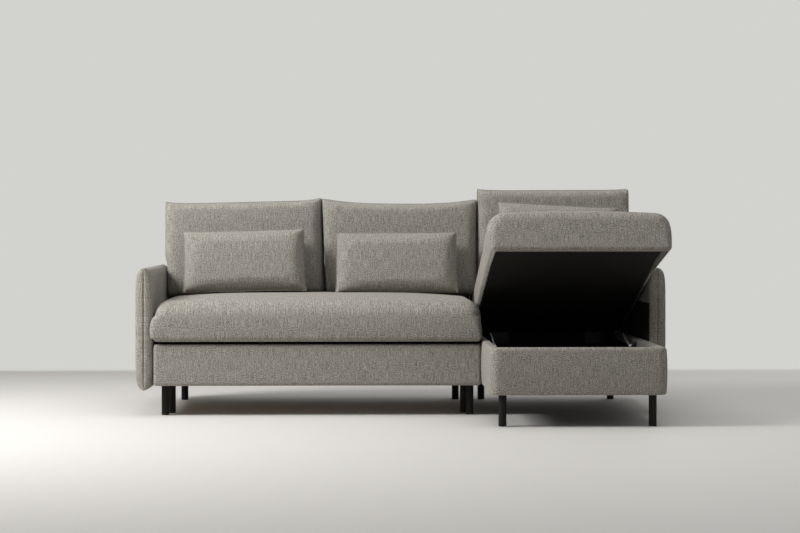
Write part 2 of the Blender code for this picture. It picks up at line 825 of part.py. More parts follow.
def lid_bracket(side, sign, strut_x, hinge):
    """An angle under the lid board with the stud that the strut's head hangs on."""
    tab_outer = strut_x - sign * STRUT_EYE_WIDTH
    tab_inner = tab_outer - sign * BRACKET_THICKNESS
    plate_inner = tab_outer - sign * BRACKET_HEIGHT
    middle = -STRUT_HEAD_FORWARD
    ahead = middle - BRACKET_LENGTH / 2
    behind = middle + BRACKET_LENGTH / 2
    plate = block(
        f"strut_lid_bracket_{side}",
        (min(tab_outer, plate_inner), ahead, -BRACKET_THICKNESS),
        (max(tab_outer, plate_inner), behind, 0),
        "black_steel",
        parent=hinge,
    )
    tab = block(
        f"strut_lid_tab_{side}",
        (
            min(tab_outer, tab_inner),
            middle - STRUT_STUD_DIAMETER,
            -STRUT_HEAD_DROP - STRUT_STUD_DIAMETER,
        ),
        (max(tab_outer, tab_inner), middle + STRUT_STUD_DIAMETER, -BRACKET_THICKNESS / 2),
        "black_steel",
        parent=hinge,
    )
    stud = rod(
        f"strut_lid_stud_{side}",
        STRUT_STUD_DIAMETER,
        ((tab_outer + tab_inner) / 2, middle, -STRUT_HEAD_DROP),
        (strut_x + sign * STRUT_EYE_WIDTH, middle, -STRUT_HEAD_DROP),
        "black_steel",
        hinge,
    )
    combine(plate, tab, "UNION")
    combine(plate, stud, "UNION")


def eye(name, outer, bore, y, parent, finish, obj):
    """A round eye across the strut, at y along it, joined to obj and bored."""
    half = STRUT_EYE_WIDTH / 2
    ring = rod(f"{name}_ring", outer, (-half, y, 0), (half, y, 0), finish, parent)
    hole = rod(f"{name}_hole", bore, (-2 * half, y, 0), (2 * half, y, 0), finish, parent)
    combine(obj, ring, "UNION")
    combine(obj, hole, "DIFFERENCE")


def strut_rod(side, length, pivot):
    """The bright rod, from its eye on the foot bracket into the cylinder."""
    obj = rod(
        f"strut_rod_{side}",
        STRUT_ROD_DIAMETER,
        (0, STRUT_EYE_DIAMETER / 4, 0),
        (0, length * STRUT_ROD_SHARE, 0),
        "bright_steel",
        pivot,
    )
    stud_bore = STRUT_STUD_DIAMETER + 2 * STRUT_STUD_PLAY
    eye(f"strut_rod_{side}", STRUT_EYE_DIAMETER, stud_bore, 0, pivot, "bright_steel", obj)


def strut_cylinder(side, length, pivot):
    """The black cylinder, bored for the rod, with its eye round the lid bracket's stud."""
    start = length * STRUT_CYLINDER_START
    bore_end = start + length * STRUT_BORE_SHARE
    obj = rod(
        f"strut_cylinder_{side}",
        STRUT_CYLINDER_DIAMETER,
        (0, start, 0),
        (0, length - STRUT_CYLINDER_DIAMETER / 2, 0),
        "black_steel",
        pivot,
    )
    bore = rod(
        f"strut_bore_{side}",
        STRUT_ROD_DIAMETER + 2 * STRUT_ROD_PLAY,
        (0, start - STRUT_EYE_WIDTH, 0),
        (0, bore_end, 0),
        "black_steel",
        pivot,
    )
    combine(obj, bore, "DIFFERENCE")
    head_bore = STRUT_STUD_DIAMETER + 2 * STRUT_HEAD_PLAY
    head_eye = head_bore + STRUT_STUD_DIAMETER
    eye(f"strut_cylinder_{side}", head_eye, head_bore, length, pivot, "black_steel", obj)


def back_cushion(name, middle_x, bottom):
    """One loose back cushion, leaning on the back."""
    lean = Matrix.Rotation(math.radians(-BACK_CUSHION_LEAN_DEG), 3, "X")
    pillowed(
        name,
        (CUSHION_WIDTH, BACK_CUSHION_HEIGHT),
        BACK_CUSHION_THICKNESS,
        BACK_CUSHION_POWERS,
        BACK_CUSHION_DRAW_IN,
        "grey_weave",
        lean @ STAND_FACING_Y,
        (
            middle_x,
            BACK_FACE_Y - RUNNING_GAP - BACK_CUSHION_THICKNESS / 2,
            bottom + BACK_CUSHION_HEIGHT / 2,
        ),
    )


def pillow(name, foot, lean_deg, roll_deg, parent=None):
    """One small lumbar pillow standing at foot, its lower corner down on the seat."""
    lean = Matrix.Rotation(math.radians(-lean_deg), 3, "X")
    roll = Matrix.Rotation(math.radians(-roll_deg), 3, "Y")
    corner_drop = PILLOW_WIDTH / 2 * math.sin(math.radians(abs(roll_deg)))
    location = Vector(foot) + Vector((0, 0, PILLOW_HEIGHT / 2 + corner_drop))
    pillowed(
        name,
        (PILLOW_WIDTH, PILLOW_HEIGHT),
        PILLOW_THICKNESS,
        PILLOW_POWERS,
        PILLOW_DRAW_IN,
        "grey_weave",
        lean @ roll @ STAND_FACING_Y,
        location,
        parent,
    )


def build_cushions(hinge):
    """Three back cushions and three pillows. The right-hand ones are pushed up by the open lid."""
    step = CUSHION_WIDTH + BACK_CUSHION_GAP
    bottom = SEAT_TOP - BACK_CUSHION_SINK
    back_cushion("back_cushion_left", -step, bottom)
    back_cushion("back_cushion_middle", 0, bottom)
    back_cushion("back_cushion_right", step, bottom + RAISED_CUSHION_LIFT)
    cushion_front = BACK_FACE_Y - RUNNING_GAP - BACK_CUSHION_THICKNESS
    pillow_y = cushion_front - PILLOW_THICKNESS / 2 - PILLOW_STAND_OFF
    on_left = (LEFT_PILLOW_SHIFT - step, pillow_y, SEAT_TOP)
    on_middle = (MIDDLE_PILLOW_SHIFT, pillow_y, SEAT_TOP)
    on_lid = (LID_PILLOW_SHIFT, -LID_PILLOW_FORWARD, LID_TOP)
    pillow("pillow_left", on_left, PILLOW_LEAN_DEG, LEFT_PILLOW_ROLL_DEG)
    pillow("pillow_middle", on_middle, PILLOW_LEAN_DEG, MIDDLE_PILLOW_ROLL_DEG)
    pillow("pillow_right", on_lid, LID_PILLOW_LEAN_DEG, LID_PILLOW_ROLL_DEG, hinge)


build_arms_and_backs()
build_bed_base()
build_seat()
build_drawer()
build_chaise_box()
lid_hinge = build_lid()
build_struts(lid_hinge)
build_cushions(lid_hinge)
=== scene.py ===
"""Looks of a sofa bed with a storage chaise: covers, finishes, light and camera.

Lengths are in metres and angles in degrees, unless a docstring says otherwise.
"""

import json
import logging
import math
from collections.abc import Sequence
from dataclasses import dataclass, field
from enum import Enum

import bmesh
import bpy
import numpy as np
from mathutils import Matrix, Vector, noise


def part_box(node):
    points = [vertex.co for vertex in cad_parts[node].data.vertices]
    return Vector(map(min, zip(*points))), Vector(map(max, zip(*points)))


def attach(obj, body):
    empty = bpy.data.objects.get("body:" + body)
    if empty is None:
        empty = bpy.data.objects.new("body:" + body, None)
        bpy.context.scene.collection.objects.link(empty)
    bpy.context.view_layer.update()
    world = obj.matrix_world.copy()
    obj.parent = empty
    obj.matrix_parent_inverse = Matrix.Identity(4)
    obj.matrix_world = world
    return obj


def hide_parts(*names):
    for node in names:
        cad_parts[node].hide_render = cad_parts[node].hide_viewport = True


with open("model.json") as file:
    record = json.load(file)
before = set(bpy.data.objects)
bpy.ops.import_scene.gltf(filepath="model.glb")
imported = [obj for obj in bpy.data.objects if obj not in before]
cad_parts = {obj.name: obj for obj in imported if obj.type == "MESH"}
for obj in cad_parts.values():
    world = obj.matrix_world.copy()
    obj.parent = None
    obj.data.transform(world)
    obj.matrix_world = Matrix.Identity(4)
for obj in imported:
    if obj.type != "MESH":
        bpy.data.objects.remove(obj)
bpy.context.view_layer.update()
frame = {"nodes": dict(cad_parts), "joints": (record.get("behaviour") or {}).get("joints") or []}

LOG = logging.getLogger("sofa_bed")
CLOTH_MAP = "cloth"
SQUARE_TO = "square_to"
TINY = 1e-9
# Points of a 2 x 2 x 2 cube that are lower than this are on its underside.
UNDERSIDE = -0.99
# Rows on a round edge lie closer together than on a flat side, by this share.
ROUND_CELL = 0.6
LEAST_CELLS = 4
LEAST_TURNS = 3

Array = np.ndarray
Pair = tuple[float, float]
Triple = tuple[float, float, float]
Socket = bpy.types.NodeSocket


class Body(Enum):
    """Bodies of the frame that carry soft pieces."""

    SOFA = "sofa"
    DRAWER = "drawer"
    LID = "lid"
    RAISED_CUSHION = "raised_back_cushion"


class Finish(Enum):
    """Every finish on the sofa, each with the record's slot that it belongs to."""

    WEAVE = "grey_weave"
    LINING = "black_lining"
    TICKING = "mattress_ticking"
    THREAD = "thread"
    BOARD = "panel_board"
    LEG_PAINT = "leg_paint"
    DARK_STEEL = "black_steel"
    BRIGHT_STEEL = "bright_steel"


class ClothSource(Enum):
    """Where a cloth's yarns take their direction from."""

    PATTERN = "the piece's own cut"
    PLACE = "its place on the sofa"


Finishes = dict[Finish, bpy.types.Material]


def tilted(degrees: float, axis: str) -> Matrix:
    """A turn about one axis."""
    return Matrix.Rotation(math.radians(degrees), 3, axis)


FLAT = Matrix.Identity(3)
STAND_FACING_X = tilted(90, "Y")
STAND_FACING_Y = tilted(90, "X")
LID_TILT = 16.4
LID_TURN = tilted(-LID_TILT, "X")


def standing(lean: float, roll: float) -> Matrix:
    """The turn of a pad that faces the front, leaning back and rolled to one side."""
    return tilted(-lean, "X") @ tilted(-roll, "Y") @ STAND_FACING_Y


def fade(low: float, high: float, values: Array) -> Array:
    """A smooth rise from 0 at low to 1 at high."""
    share = np.clip((values - low) / (high - low), 0.0, 1.0)
    return share * share * (3 - 2 * share)


def turn_points(points: Array, turn: Matrix, centre: Vector) -> Array:
    """Points of a piece's own frame, turned and moved to where the piece stands."""
    return points @ np.array(turn).T + np.array(centre)


def coordinates(mesh: bpy.types.Mesh) -> Array:
    """A mesh's points, one row each.

    Args:
        mesh: The mesh to read.

    Returns:
        Its points.
    """
    flat = np.empty(len(mesh.vertices) * 3)
    mesh.vertices.foreach_get("co", flat)
    return flat.reshape(-1, 3)


def edge_ends(mesh: bpy.types.Mesh) -> Array:
    """The numbers of the two points of each edge, one row each.

    Args:
        mesh: The mesh to read.

    Returns:
        The rows of numbers.
    """
    flat = np.empty(len(mesh.edges) * 2, np.int32)
    mesh.edges.foreach_get("vertices", flat)
    return flat.reshape(-1, 2)


def linked(name: str, data: bpy.types.ID) -> bpy.types.Object:
    """A new object in the scene.

    Args:
        name: The object's name.
        data: Its mesh, light or camera.

    Returns:
        The object.
    """
    obj = bpy.data.objects.new(name, data)
    bpy.context.scene.collection.objects.link(obj)
    return obj


def applied(obj: bpy.types.Object) -> None:
    """Turn an object's modifiers into its plain mesh.

    Args:
        obj: The object to change.
    """
    depsgraph = bpy.context.evaluated_depsgraph_get()
    mesh = bpy.data.meshes.new_from_object(obj.evaluated_get(depsgraph))
    rough = obj.data
    obj.modifiers.clear()
    obj.data = mesh
    bpy.data.meshes.remove(rough)
    mesh.name = obj.name


def smoothed(obj: bpy.types.Object) -> None:
    """Smooth an object's mesh by one subdivision."""
    obj.modifiers.new("smooth", "SUBSURF").levels = 1
    applied(obj)


def hand_over(obj: bpy.types.Object, body: Body) -> None:
    """Let a finished piece move with its body.

    Args:
        obj: The finished piece.
        body: The body that it moves with.
    """
    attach(obj, body.value)
    LOG.info("%s: %d faces", obj.name, len(obj.data.polygons))


class NodeSheet:
    """Adds nodes to a tree, setting or linking their inputs as it goes."""

    def __init__(self, tree: bpy.types.NodeTree) -> None:
        """Start on a tree."""
        self.tree = tree

    def put(self, kind: str, inputs: dict | None = None, **settings: object) -> bpy.types.Node:
        """Add one node.

        Args:
            kind: Blender's name of the node type.
            inputs: Values or sockets, by the input's name or number.
            settings: The node's own properties.

        Returns:
            The new node.
        """
        node = self.tree.nodes.new(kind)
        for name, value in settings.items():
            setattr(node, name, value)
        self.feed(node, inputs or {})
        return node

    def feed(self, node: bpy.types.Node, inputs: dict) -> None:
        """Set a node's inputs, or link them where a socket is given.

        Args:
            node: The node.
            inputs: Values or sockets, by the input's name or number.
        """
        for key, value in inputs.items():
            if isinstance(value, Socket):
                self.tree.links.new(value, node.inputs[key])
            else:
                node.inputs[key].default_value = value

    def math(self, operation: str, *values: object) -> Socket:
        """The result of one sum."""
        return self.put("ShaderNodeMath", dict(enumerate(values)), operation=operation).outputs[0]

    def mix(self, share: object, first: object, second: object) -> Socket:
        """A blend of two colours."""
        return self.put("ShaderNodeMix", {0: share, 6: first, 7: second}, data_type="RGBA").outputs[2]

    def speckle(self, vector: object, scale: object, detail: float) -> Socket:
        """Noise from 0 to 1 on a vector."""
        inputs = {"Vector": vector, "Scale": scale, "Detail": detail}
        return self.put("ShaderNodeTexNoise", inputs).outputs["Fac"]

    def spread(self, value: object, ends: Pair) -> Socket:
        """A value from 0 to 1, spread between two others."""
        inputs = {"Value": value, "To Min": ends[0], "To Max": ends[1]}
        return self.put("ShaderNodeMapRange", inputs).outputs[0]

    def ramp(self, value: object, ends: Pair, kind: str = "LINEAR") -> Socket:
        """0 at the first of two values, rising to 1 at the second."""
        inputs = {"Value": value, "From Min": ends[0], "From Max": ends[1]}
        return self.put("ShaderNodeMapRange", inputs, interpolation_type=kind).outputs[0]

    def place(self) -> Socket:
        """Where a point is on its object."""
        return self.put("ShaderNodeTexCoord").outputs["Object"]

    def apart(self, vector: Socket) -> list[Socket]:
        """The three parts of a vector."""
        return list(self.put("ShaderNodeSeparateXYZ", {0: vector}).outputs)

    def joined(self, *parts: object) -> Socket:
        """A vector of two or three parts."""
        return self.put("ShaderNodeCombineXYZ", dict(enumerate(parts))).outputs[0]

    def relief(self, height: Socket, distance: float, strength: float) -> Socket:
        """A surface's direction, roughened by a height."""
        inputs = {"Strength": strength, "Distance": distance, "Height": height}
        return self.put("ShaderNodeBump", inputs).outputs[0]

    def seen(self) -> Socket:
        """1 for rays that show the surround, 0 for rays that carry light.

        Returns:
            The socket that tells them apart.
        """
        path = self.put("ShaderNodeLightPath").outputs
        direct = self.math("MAXIMUM", path["Is Camera Ray"], path["Is Glossy Ray"])
        return self.math("MAXIMUM", direct, path["Is Transmission Ray"])


def new_group(
    name: str, kind: str, inputs: dict[str, str], outputs: dict[str, str]
) -> tuple[NodeSheet, bpy.types.NodeOutputs, bpy.types.Node]:
    """A node group with named sockets.

    Args:
        name: The group's name.
        kind: Kind of node tree, Shader or Geometry.
        inputs: Kinds of socket by input name.
        outputs: Kinds of socket by output name.

    Returns:
        The sheet to add nodes on, what the group is given and its output node.
    """
    tree = bpy.data.node_groups.new(name, f"{kind}NodeTree")
    for way, sockets in (("INPUT", inputs), ("OUTPUT", outputs)):
        for socket, socket_kind in sockets.items():
            tree.interface.new_socket(socket, in_out=way, socket_type=f"NodeSocket{socket_kind}")
    sheet = NodeSheet(tree)
    return sheet, sheet.put("NodeGroupInput").outputs, sheet.put("NodeGroupOutput")


def new_material(name: str) -> tuple[bpy.types.Material, NodeSheet, bpy.types.Node]:
    """A material with a Principled shader: the material, its sheet and the shader.

    Args:
        name: The material's name.

    Returns:
        The material, its sheet and its shader.
    """
    material = bpy.data.materials.new(name)
    material.use_nodes = True
    sheet = NodeSheet(material.node_tree)
    return material, sheet, material.node_tree.nodes["Principled BSDF"]


@dataclass
class SharedEffects:
    """Shader groups that more than one finish uses.

    Each streak is the width and the length, in yarns, of one kind of slub, and its share of the tone.
    """

    streaks: tuple[Triple, ...] = ((2.0, 2.3, 0.56), (1.7, 9.0, 0.18), (1.6, 28.0, 0.26))
    # Painted shade and highlight: the colour is scaled from the first value in the hollows between yarns
    # to the second on their crests.
    yarn_painted_light: Pair = (0.84, 1.08)
    yarn_roughness: Pair = (0.80, 1.0)
    slub_rise: float = 0.5
    rubbed_patches: Pair = (0.48, 0.72)
    rubbed_detail: Pair = (4.0, 2.0)

    def __post_init__(self) -> None:
        """Build each group once."""
        self.woven = self.build_woven()
        self.rubbed = self.build_rubbed()

    def build_woven(self) -> bpy.types.NodeTree:
        """Plain weave of slubbed yarns: its colour with painted shade and highlight on the yarns, its
        roughness and relief.

        Returns:
            The group's tree.
        """
        inputs = {"Cloth": "Vector", "Yarn": "Float", "Slub": "Float"}
        tones = {"Light": "Color", "Middle": "Color", "Dark": "Color"}
        outputs = {"Color": "Color", "Roughness": "Float", "Height": "Float"}
        sheet, given, sink = new_group("woven_cloth", "Shader", inputs | tones, outputs)
        ways = [sheet.math("DIVIDE", way, given["Yarn"]) for way in sheet.apart(given["Cloth"])[:2]]
        ridges = [
            sheet.math("ABSOLUTE", sheet.math("SINE", sheet.math("MULTIPLY", way, math.pi)))
            for way in ways
        ]
        relief = sheet.math("MULTIPLY", *ridges)
        slubs = []
        tone = 0.0
        for *size, share in self.streaks:
            spot = sheet.joined(*(sheet.math("DIVIDE", way, part) for way, part in zip(ways, size)))
            slubs.append(sheet.speckle(spot, 1.0, 0.0))
            tone = sheet.math("MULTIPLY_ADD", slubs[-1], share, tone)
        tone = sheet.math("MULTIPLY", sheet.math("SUBTRACT", tone, 0.5), given["Slub"])
        lower = sheet.put("ShaderNodeClamp", {0: sheet.math("MULTIPLY_ADD", tone, 2.0, 1.0)})
        upper = sheet.put("ShaderNodeClamp", {0: sheet.math("MULTIPLY", tone, 2.0)})
        colour = sheet.mix(lower.outputs[0], given["Dark"], given["Middle"])
        colour = sheet.mix(upper.outputs[0], colour, given["Light"])
        # Painted shade and highlight on the yarns, taken from the weave's relief.
        painted_yarn_light = sheet.spread(relief, self.yarn_painted_light)
        colour = sheet.put("ShaderNodeVectorMath", {0: colour, "Scale": painted_yarn_light}, operation="SCALE")
        results = {
            "Color": colour.outputs[0],
            "Roughness": sheet.spread(slubs[0], self.yarn_roughness),
            "Height": sheet.math("MULTIPLY_ADD", slubs[0], self.slub_rise, relief),
        }
        sheet.feed(sink, results)
        return sheet.tree

    def build_rubbed(self) -> bpy.types.NodeTree:
        """Handling marks on a hard surface: a mask of rubbed spots and a fine relief.

        Returns:
            The group's tree.
        """
        inputs = {"Place": "Vector", "Coarse": "Float", "Fine": "Float"}
        outputs = {"Mask": "Float", "Height": "Float"}
        sheet, given, sink = new_group("rubbed_surface", "Shader", inputs, outputs)
        coarse, fine = (
            sheet.speckle(given["Place"], given[size], detail)
            for size, detail in zip(("Coarse", "Fine"), self.rubbed_detail)
        )
        patches = sheet.ramp(coarse, self.rubbed_patches)
        sheet.feed(sink, {"Mask": sheet.math("MULTIPLY", patches, fine), "Height": fine})
        return sheet.tree


@dataclass(frozen=True)
class ClothFinish:
    """A woven cloth: its yarn, its slubs, its light, middle and dark tone, its relief and its sheen."""

    name: str
    yarn: float
    slub: float
    tones: tuple[Triple, Triple, Triple]
    relief: float
    sheen: float
    source: ClothSource = ClothSource.PATTERN
    bump: float = 0.5
    gloss: float = 0.2

    def build(self, effects: SharedEffects) -> bpy.types.Material:
        """The cloth's material.

        Args:
            effects: The shared shader groups.

        Returns:
            The material.
        """
        material, sheet, shader = new_material(self.name)
        if self.source is ClothSource.PATTERN:
            cloth = sheet.put("ShaderNodeUVMap", uv_map=CLOTH_MAP).outputs[0]
        else:
            x, y, z = sheet.apart(sheet.place())
            cloth = sheet.joined(x, sheet.math("ADD", y, z))
        inputs = {"Cloth": cloth, "Yarn": self.yarn, "Slub": self.slub}
        for tone, colour in zip(("Light", "Middle", "Dark"), self.tones):
            inputs[tone] = (*colour, 1.0)
        woven = sheet.put("ShaderNodeGroup", inputs, node_tree=effects.woven).outputs
        looks = {
            "Base Color": woven["Color"],
            "Roughness": woven["Roughness"],
            "Normal": sheet.relief(woven["Height"], self.relief, self.bump),
            "Sheen Weight": self.sheen,
            "Specular IOR Level": self.gloss,
        }
        sheet.feed(shader, looks)
        return material


@dataclass(frozen=True)
class HardFinish:
    """Paint, steel or board: its clean and rubbed colour, its polish and its marks, coarse and fine."""

    name: str
    clean: Triple
    rubbed: Triple
    roughness: Pair
    marks: Pair
    relief: float
    metallic: float = 0.0
    gloss: float = 0.5
    stretch: Triple = (1.0, 1.0, 1.0)
    bump: float = 0.4

    def build(self, effects: SharedEffects) -> bpy.types.Material:
        """The finish's material.

        Args:
            effects: The shared shader groups.

        Returns:
            The material.
        """
        material, sheet, shader = new_material(self.name)
        inputs = {"Vector": sheet.place(), "Scale": self.stretch}
        place = sheet.put("ShaderNodeMapping", inputs).outputs[0]
        inputs = {"Place": place, "Coarse": self.marks[0], "Fine": self.marks[1]}
        marks = sheet.put("ShaderNodeGroup", inputs, node_tree=effects.rubbed).outputs
        looks = {
            "Base Color": sheet.mix(marks["Mask"], (*self.clean, 1.0), (*self.rubbed, 1.0)),
            "Roughness": sheet.spread(marks["Height"], self.roughness),
            "Normal": sheet.relief(marks["Height"], self.relief, self.bump),
            "Metallic": self.metallic,
            "Specular IOR Level": self.gloss,
        }
        sheet.feed(shader, looks)
        return material


GREY = ((0.43, 0.415, 0.37), (0.272, 0.258, 0.224), (0.125, 0.115, 0.096))
BLACK = ((0.017, 0.015, 0.012), (0.010, 0.009, 0.007), (0.004, 0.004, 0.003))
PALE = ((0.72, 0.70, 0.65), (0.62, 0.60, 0.55), (0.46, 0.44, 0.39))

FINISHES = {
    Finish.WEAVE: ClothFinish("sofa_weave", 0.0017, 3.1, GREY, relief=0.0005, sheen=0.08),
    Finish.LINING: ClothFinish(
        "box_lining", 0.0012, 1.6, BLACK, relief=0.0003, sheen=0.0, source=ClothSource.PLACE
    ),
    Finish.TICKING: ClothFinish("mattress_ticking", 0.0022, 1.8, PALE, relief=0.0006, sheen=0.1),
    Finish.THREAD: ClothFinish(
        "seam_thread", 0.0009, 1.4, GREY, relief=0.0002, sheen=0.1, source=ClothSource.PLACE
    ),
    Finish.BOARD: HardFinish(
        "panel_board",
        clean=(0.45, 0.34, 0.22),
        rubbed=(0.30, 0.21, 0.13),
        roughness=(0.55, 0.8),
        marks=(60.0, 700.0),
        relief=0.0004,
    ),
    Finish.LEG_PAINT: HardFinish(
        "leg_paint",
        clean=(0.004, 0.004, 0.003),
        rubbed=(0.010, 0.010, 0.008),
        roughness=(0.5, 0.7),
        marks=(35.0, 900.0),
        relief=0.0002,
        gloss=0.2,
    ),
    Finish.DARK_STEEL: HardFinish(
        "dark_steel",
        clean=(0.004, 0.004, 0.004),
        rubbed=(0.012, 0.012, 0.012),
        roughness=(0.4, 0.6),
        marks=(60.0, 900.0),
        relief=0.0001,
        gloss=0.25,
    ),
    Finish.BRIGHT_STEEL: HardFinish(
        "bright_steel",
        clean=(0.86, 0.87, 0.88),
        rubbed=(0.66, 0.67, 0.68),
        roughness=(0.30, 0.45),
        marks=(40.0, 900.0),
        relief=0.00005,
        metallic=0.4,
        stretch=(1.0, 0.08, 1.0),
    ),
}


@dataclass
class SoftMesh:
    """A form before it is dressed: points, four-cornered faces and the cut of its cloth."""

    points: Array
    faces: Array
    cloth: Array
    seam: Array = field(default_factory=lambda: np.empty(0, int))
    held: Array = field(default_factory=lambda: np.empty(0, int))

    def to_object(self, name: str) -> bpy.types.Object:
        """A mesh object of the form, with its cloth map and its seam kept sharp.

        Args:
            name: Name of the object and its mesh.

        Returns:
            The object.
        """
        mesh = bpy.data.meshes.new(name)
        mesh.from_pydata(self.points.tolist(), [], self.faces.tolist())
        layer = mesh.uv_layers.new(name=CLOTH_MAP)
        layer.data.foreach_set("uv", self.cloth.reshape(-1).astype(np.float32))
        if len(self.seam):
            self.crease(mesh)
        mesh.shade_smooth()
        return linked(name, mesh)

    def crease(self, mesh: bpy.types.Mesh) -> None:
        """Keep the seam's edges from being smoothed away.

        Args:
            mesh: The form's mesh.
        """
        order = np.full(len(self.points), -1)
        order[self.seam] = np.arange(len(self.seam))
        first, second = order[edge_ends(mesh)].T
        sewn = (first >= 0) & (second >= 0)
        neighbours = np.isin(np.abs(first - second), (1, len(self.seam) - 1))
        attribute = mesh.attributes.new("crease_edge", "FLOAT", "EDGE")
        attribute.data.foreach_set("value", (sewn & neighbours).astype(np.float32))


@dataclass(frozen=True)
class RestPlane:
    """A surface that a soft piece rests against and flattens on."""

    point: Triple
    normal: Triple
    soft: float = 0.006

    def press(self, points: Array) -> Array:
        """Points behind the surface, brought up to it.

        Args:
            points: A piece's points on the sofa.

        Returns:
            The moved points.
        """
        normal = np.array(self.normal) / np.linalg.norm(self.normal)
        depth = (points - np.array(self.point)) @ normal
        clear = 0.5 * (depth + np.sqrt(depth * depth + self.soft * self.soft))
        return points + np.outer(clear - depth, normal)


@dataclass
class Pad:
    """A soft piece that stands for one CAD node.

    Sizes are those of its own frame, which turn and the node's middle place on the sofa.
    """

    name: str
    node: str
    body: Body
    turn: Matrix
    fill: float
    finish: Finish = Finish.WEAVE
    swell: float = 0.0
    seed: float = 0.0
    rests: Sequence[RestPlane] = ()
    shift: Triple = (0.0, 0.0, 0.0)

    def centre(self) -> Vector:
        """Where the pad's own origin is on the sofa."""
        low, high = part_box(self.node)
        return (low + high) / 2 + Vector(self.shift)

    def form(self) -> SoftMesh:
        """The pad's form in its own frame."""
        raise NotImplementedError

    def shape(self, points: Array) -> Array:
        """Last moves of the pad's points on the sofa.

        Args:
            points: The filled pad's points on the sofa.

        Returns:
            The moved points.
        """
        for rest in self.rests:
            points = rest.press(points)
        return points

    def cut(self) -> None:
        """Make the pad's object, ready to be filled."""
        self.soft = self.form()
        self.soft.points = turn_points(self.soft.points, self.turn, self.centre())
        self.obj = self.soft.to_object(self.name)

    def dress(self, finishes: Finishes) -> None:
        """Shape and smooth the filled pad, and put it in its node's place.

        Args:
            finishes: The sofa's materials.
        """
        mesh = self.obj.data
        self.soft.points = self.shape(coordinates(mesh))
        mesh.vertices.foreach_set("co", self.soft.points.reshape(-1))
        mesh.update()
        mesh.materials.append(finishes[self.finish])
        smoothed(self.obj)
        hand_over(self.obj, self.body)
        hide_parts(self.node)


